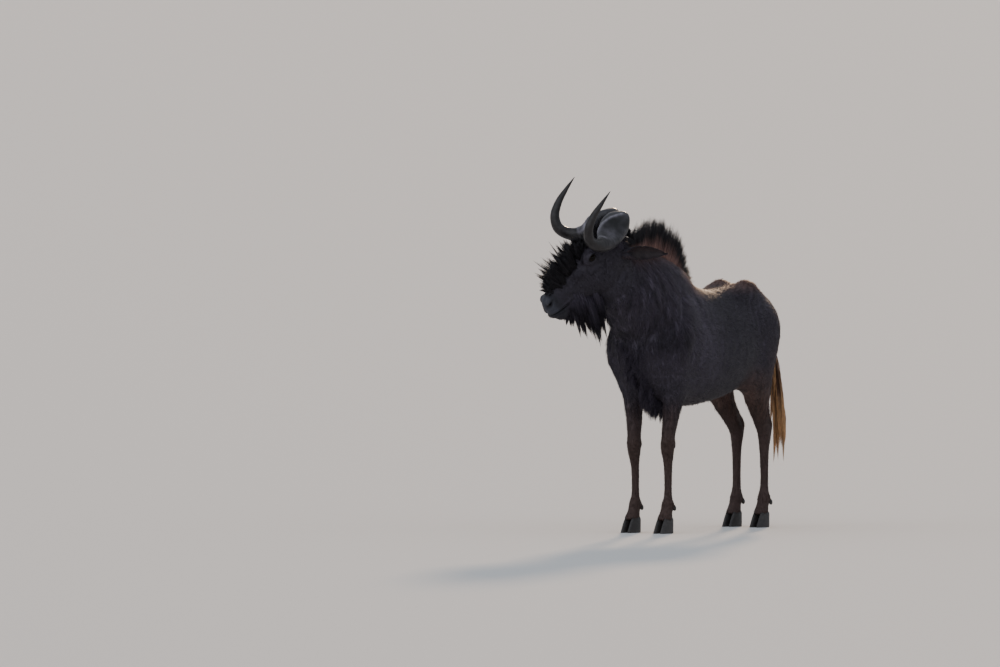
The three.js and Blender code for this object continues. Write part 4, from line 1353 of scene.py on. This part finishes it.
class MakeEyes(bpy.types.Operator):
    """Sets the eyeballs in their sockets, with lids round them and lashes on the upper lids"""
    bl_idname = "wildebeest.eyes"
    bl_label = "Eyes and lids"

    def execute(self, context):
        look, coat = context.scene.wildebeest_horn, context.scene.wildebeest_coat
        hair = context.scene.wildebeest_hair
        glass, hide = eye_material(), hide_material()
        lash = hair_material("wildebeest_lash", 0.4)
        rng = np.random.default_rng(302)
        for name, side in SIDES.items():
            (verts, tris), colours = eye_ball(side, look)
            ball = new_mesh(f"eye_{name}_ball", verts + ORIGIN, tris, colours)
            finish_piece(ball, glass, "eye", f"eye_{name}")
            verts, tris, dark = lid_ring(side)
            colours = mixed(np.array(coat.coat) * 0.9, np.array(hair.black) * 0.7, dark)
            lids = new_mesh(f"eyelids_{name}", verts + ORIGIN, tris, colours)
            finish_piece(lids, hide, "coat")
            n = LASHES
            turn = rng.uniform(0.12, 0.92, n) * np.pi
            c, d = np.cos(turn), np.sin(turn)
            a = (LID_OPEN[0] + 0.6) * c
            g = (LID_OPEN[1] * 1.05 + 0.6) * d * np.abs(d) ** 0.35 - LID_SLANT * c
            b = np.sqrt(np.clip((EYE_RADIUS + 2.2) ** 2 - a**2 - g**2, 0, None))
            root = np.stack([a, b * side, g], 1) + eye_at(side)
            out = np.stack([0.15 + 0.5 * c, np.full(n, side * 1.0), 0.15 + 0.25 * d], 1)
            reach = rng.uniform(8, 14, n)[:, None]
            middle = root + out * reach * 0.5 + [0, 0, -1.2]
            tip = root + out * reach + [0, 0, 0.8]
            black = np.tile(np.array(hair.black), (n, 1))
            root, middle, tip = (from_head(v * MM) for v in (root, middle, tip))
            flat = np.tile(HEAD[:, 0], (n, 1))
            lashes = strands(
                f"lashes_{name}", root, middle, tip, np.full(n, 0.0009), flat,
                (black, black, np.full(n, 0.5)), skin_chart(root), 3)
            finish_piece(lashes, lash, "coat")
        return {"FINISHED"}


def mesh_normals(verts, tris):
    """Unit normals at the vertices, each the sum of its triangles' area vectors."""
    a, b, c = (verts[tris[:, i]] for i in range(3))
    area = np.cross(b - a, c - a)
    total = np.zeros_like(verts)
    for i in range(3):
        for k in range(3):
            total[:, k] += np.bincount(tris[:, i], area[:, k], minlength=len(verts))
    return unit(total)


# The boss's hollow outer face, its front corner and the view across it, from the left horn; the view's axes
# place painted highlight and shade on the boss
DISH = {"at": (-138, 106, 44), "half": (74, 50, 42), "deep": 13, "rim": 5.0}
CORNER = {"at": (-214, 72, 42), "reach": 56, "back": 22}
DISH_ACROSS = (-0.74, 0.36, -0.57)
DISH_UP = (-0.64, -0.13, 0.75)
HORN_BROWN = (0.006, 0.004, 0.002)


class MakeHorns(bpy.types.Operator):
    """Carries the horns from the broad rough boss forward, down and up to their smooth tips"""
    bl_idname = "wildebeest.horns"
    bl_label = "Horns"

    def execute(self, context):
        look = context.scene.wildebeest_horn
        material = horn_material()
        tone = np.array(look.horn)
        for name, side in SIDES.items():
            stations = mirrored([(x, y, z, deep, wide, 0) for x, y, z, deep, wide in HORN], side)
            sides, steps = 72, 16
            verts, tris = loft(stations, (0, -0.45 * side, 1), None, sides, steps)
            normal = mesh_normals(verts, tris)
            mirror = [1, side, 1]
            rings = (len(HORN) - 1) * steps + 1
            angles = np.linspace(0, 2 * np.pi, sides, endpoint=False)
            t = np.concatenate([np.repeat(np.linspace(0, 1, rings), sides), [0, 1]])
            turn = np.concatenate([np.tile(angles, rings), [0, 0]])
            boss = ease(0.52, 0.3, t) * ease(0.0, 0.06, t)
            rough = lumps(verts, 40, 41) * 0.7 + lumps(verts, 14, 42) * 0.3
            cracks = np.abs(np.sin(turn * 9 + 1.8 * lumps(verts, 60, 43)))
            ridges = np.sin(t * 210 + 2.2 * lumps(verts, 45, 44))
            rise = boss * (0.8 * rough - 1.1 * (1 - cracks) ** 4 + 0.35 * ridges * ease(0.12, 0.25, t))
            rise += (1 - boss) * ease(0.95, 0.7, t) * (0.12 * ridges + 0.2 * rough)
            middle = np.array(DISH["at"]) * mirror
            dish = np.linalg.norm((verts - middle) / DISH["half"], axis=1)
            rim = np.exp(-((dish - 1.12) / 0.14) ** 2) * ease(34, 60, verts[:, 2])
            from_corner = np.linalg.norm(verts - np.array(CORNER["at"]) * mirror, axis=1)
            rise += boss * (DISH["rim"] * rim - DISH["deep"] * mound(dish, 0, 1.05))
            verts = verts + normal * rise[:, None]
            verts[:, 0] -= CORNER["back"] * mound(from_corner, 0, CORNER["reach"])
            view = np.stack([DISH_ACROSS, DISH_UP], 1) * np.array(mirror)[:, None]
            across, high = ((verts - middle) @ view).T
            # Painted highlight (lit) in the hollow's middle, and painted shade (dim) in its upper part and
            # to one side
            lit = mound(np.hypot(across + 14, high + 20), 0, 40) * boss
            dim = mound(np.hypot((across + 6) * 0.45, high - 38), 0, 24) * boss
            dim = np.maximum(dim, mound(np.hypot(across - 54, high - 18), 0, 34) * boss * 0.7)
            # Paleness of the boss: its rough worn surface by base and relief, plus painted highlight and
            # shade, and a painted highlight of the back light along the rim
            paleness = boss * np.clip(0.45 + 0.05 * rise + 5 * rim ** 3 + 1.7 * lit - 0.8 * dim, -0.25, 5)
            colours = tone * (0.52 + 1.2 * paleness)[:, None] * (1 + 0.25 * lumps(verts, 34, 45))[:, None]
            colours = colours * (1 - 0.3 * ease(0.8, 1.0, t))[:, None]
            colours = colours * np.array([1.0, 0.98, 1.0]) + np.array(HORN_BROWN) * (1 - boss)[:, None]
            horn = new_mesh(f"horn_{name}_shell", from_head(verts * MM) + ORIGIN, tris, colours)
            finish_piece(horn, material, "horn", f"horn_{name}")
        return {"FINISHED"}


class MakeHooves(bpy.types.Operator):
    """Shapes the eight hooves with flat soles and growth rings, and the dewclaws above them"""
    bl_idname = "wildebeest.hooves"
    bl_label = "Hooves"

    def execute(self, context):
        look = context.scene.wildebeest_horn
        material = hoof_material()
        tone = np.array(look.hoof)
        claws = []
        for end, (x, y) in FEET.items():
            for name, side in SIDES.items():
                for place, apart in (("outer", 1), ("inner", -1)):
                    middle = side * (y + apart * TOE_APART)
                    rows = [(x + dx, middle, z, deep, wide, 0.35) for z, dx, deep, wide in TOE]
                    verts, tris = loft(rows, (1, 0, 0), (0, 0, -1), 64, 10)
                    verts[:, 2] = np.maximum(verts[:, 2], 0)
                    normal = mesh_normals(verts, tris)
                    wall = ease(2.5, 6, verts[:, 2]) * (np.abs(normal[:, 2]) < 0.7)
                    wave = np.sin(verts[:, 2] * 0.7 + 1.6 * lumps(verts, 60, 51)) * 0.6
                    wave = wave + 0.4 * lumps(verts, 12, 53)
                    verts[:, :2] += normal[:, :2] * (wall * 0.22 * wave)[:, None]
                    band = ease(50, 58, verts[:, 2])
                    # Paleness of the hoof: worn paler towards the sole
                    paleness = ease(12, 0, verts[:, 2]) * 0.5
                    shade = 1 + 0.12 * wave + 0.22 * lumps(verts, 20, 52) + paleness * 1.2
                    colours = tone * shade[:, None] * (1 - 0.35 * band)[:, None]
                    hoof = new_mesh(f"hoof_{end}_{name}_{place}_wall", verts * MM + ORIGIN, tris, colours)
                    finish_piece(hoof, material, "hoof", f"hoof_{end}_{name}_{place}")
                    cx, cy, cz = DEWCLAWS[end]
                    claws.append(egg((cx, side * (cy + apart * 15), cz), DEWCLAW_HALF, 28, 16))
        verts, tris = joined(claws)
        verts[:, 0] += 0.35 * (verts[:, 2] - 106)
        colours = np.tile(tone * 0.9, (len(verts), 1))
        piece = new_mesh("dewclaws", verts * MM + ORIGIN, tris, colours)
        finish_piece(piece, material, "hoof")
        return {"FINISHED"}


# Floor, camera and lights, in metres; the sensor's width in millimetres
FLOOR_REACH = 1600.0
FLOOR_CELLS = 8
SENSOR = 36
SKY = (0.87, 0.92, 1.0, 1)


def soft_sun(name, towards, strength, angle, colour):
    """A wide distant light, so that floor and animal are lit evenly; it comes from `towards`."""
    data = bpy.data.lights.new(name, "SUN")
    data.energy = strength
    data.angle = math.radians(angle)
    data.color = colour
    light = bpy.data.objects.new(name, data)
    light.rotation_euler = Vector(towards).to_track_quat("Z", "Y").to_euler()
    light.location = Vector(towards) * 3
    bpy.context.scene.collection.objects.link(light)


class MakeStage(bpy.types.Operator):
    """Lays the floor and sets the camera and the soft lights"""
    bl_idname = "wildebeest.stage"
    bl_label = "Stage"

    def execute(self, context):
        look = context.scene.wildebeest_stage
        u = np.linspace(-FLOOR_REACH, FLOOR_REACH, FLOOR_CELLS + 1)
        gx, gy = np.meshgrid(u, u, indexing="ij")
        verts = np.stack([gx.ravel(), gy.ravel(), np.full(gx.size, ORIGIN[2])], 1)
        i, j = np.meshgrid(np.arange(FLOOR_CELLS), np.arange(FLOOR_CELLS), indexing="ij")
        a = i * (FLOOR_CELLS + 1) + j
        b = a + FLOOR_CELLS + 1
        faces = np.stack([a, b, b + 1, a + 1], -1).reshape(-1, 4)
        floor = new_mesh("floor", verts, faces)
        material, _, _, shader = new_material("plain_floor")
        set_inputs(shader, Base_Color=(*look.floor, 1), Roughness=0.9)
        floor.data.materials.append(material)
        level = math.cos(look.rise)
        aim = np.array([math.cos(look.turn) * level, math.sin(look.turn) * level, math.sin(look.rise)])
        right = np.array([-math.sin(look.turn), math.cos(look.turn), 0.0])
        up = np.cross(aim, right)
        target = ORIGIN + right * ((PHOTO_WIDTH / 2 - PHOTO_BODY_X) / PIXELS_PER_METRE)
        target = target + up * ((PHOTO_GROUND_Y - PHOTO_HEIGHT / 2) / PIXELS_PER_METRE)
        data = bpy.data.cameras.new("photo_camera")
        data.sensor_width = SENSOR
        data.lens = SENSOR * look.distance * PIXELS_PER_METRE / PHOTO_WIDTH
        data.clip_start = 1
        data.clip_end = 4000
        camera = bpy.data.objects.new("photo_camera", data)
        camera.location = Vector(target + aim * look.distance)
        camera.rotation_euler = Vector(-aim).to_track_quat("-Z", "Y").to_euler()
        context.scene.collection.objects.link(camera)
        context.scene.camera = camera
        high = np.array([0, 0, 1.0])
        soft_sun("key", aim * 1.0 - right * 0.75 + high * 0.5, look.key, 80, (0.88, 0.93, 1.0))
        soft_sun("back", -aim * 1.0 + right * 0.12 + high * 0.32, look.back, 5, (1.0, 0.70, 0.46))
        soft_sun("fill", aim * 0.8 + right * 0.7 + high * 0.35, look.fill, 70, (0.84, 0.91, 1.0))
        world = context.scene.world or bpy.data.worlds.new("sky")
        context.scene.world = world
        world.use_nodes = True
        set_inputs(world.node_tree.nodes["Background"], Color=SKY, Strength=look.world)
        return {"FINISHED"}


class WildebeestPanel(bpy.types.Panel):
    """Lists the sizes, colours and makers of the wildebeest"""
    bl_label = "Wildebeest"
    bl_idname = "VIEW3D_PT_wildebeest"
    bl_space_type = "VIEW_3D"
    bl_region_type = "UI"
    bl_category = "Wildebeest"

    def draw(self, context):
        for group in (
            context.scene.wildebeest_coat, context.scene.wildebeest_hair,
            context.scene.wildebeest_horn, context.scene.wildebeest_stage,
        ):
            box = self.layout.box()
            for name in group.bl_rna.properties.keys():
                if name not in ("rna_type", "name"):
                    box.prop(group, name)
        for maker in MAKERS:
            self.layout.operator(maker.bl_idname)


GROUPS = {
    "wildebeest_coat": WildebeestCoat, "wildebeest_hair": WildebeestHair,
    "wildebeest_horn": WildebeestHorn, "wildebeest_stage": WildebeestStage,
}
MAKERS = (
    MakeStage, MakeSkin, MakeCoat, MakeNeckHair, MakeLongHair, MakeEars, MakeEyes, MakeHorns, MakeHooves,
)


def register():
    """Registers the groups, the makers and the panel, and puts the groups on the scene."""
    for group in GROUPS.values():
        bpy.utils.register_class(group)
    for maker in MAKERS:
        bpy.utils.register_class(maker)
    bpy.utils.register_class(WildebeestPanel)
    for name, group in GROUPS.items():
        setattr(bpy.types.Scene, name, PointerProperty(type=group))


def unregister():
    """Takes away what register put in, in the opposite order."""
    for name in GROUPS:
        delattr(bpy.types.Scene, name)
    bpy.utils.unregister_class(WildebeestPanel)
    for maker in reversed(MAKERS):
        bpy.utils.unregister_class(maker)
    for group in reversed(list(GROUPS.values())):
        bpy.utils.unregister_class(group)


def main():
    """Makes every piece in order."""
    register()
    for maker in MAKERS:
        family, name = maker.bl_idname.split(".")
        getattr(getattr(bpy.ops, family), name)()


if __name__ == "__main__":
    main()
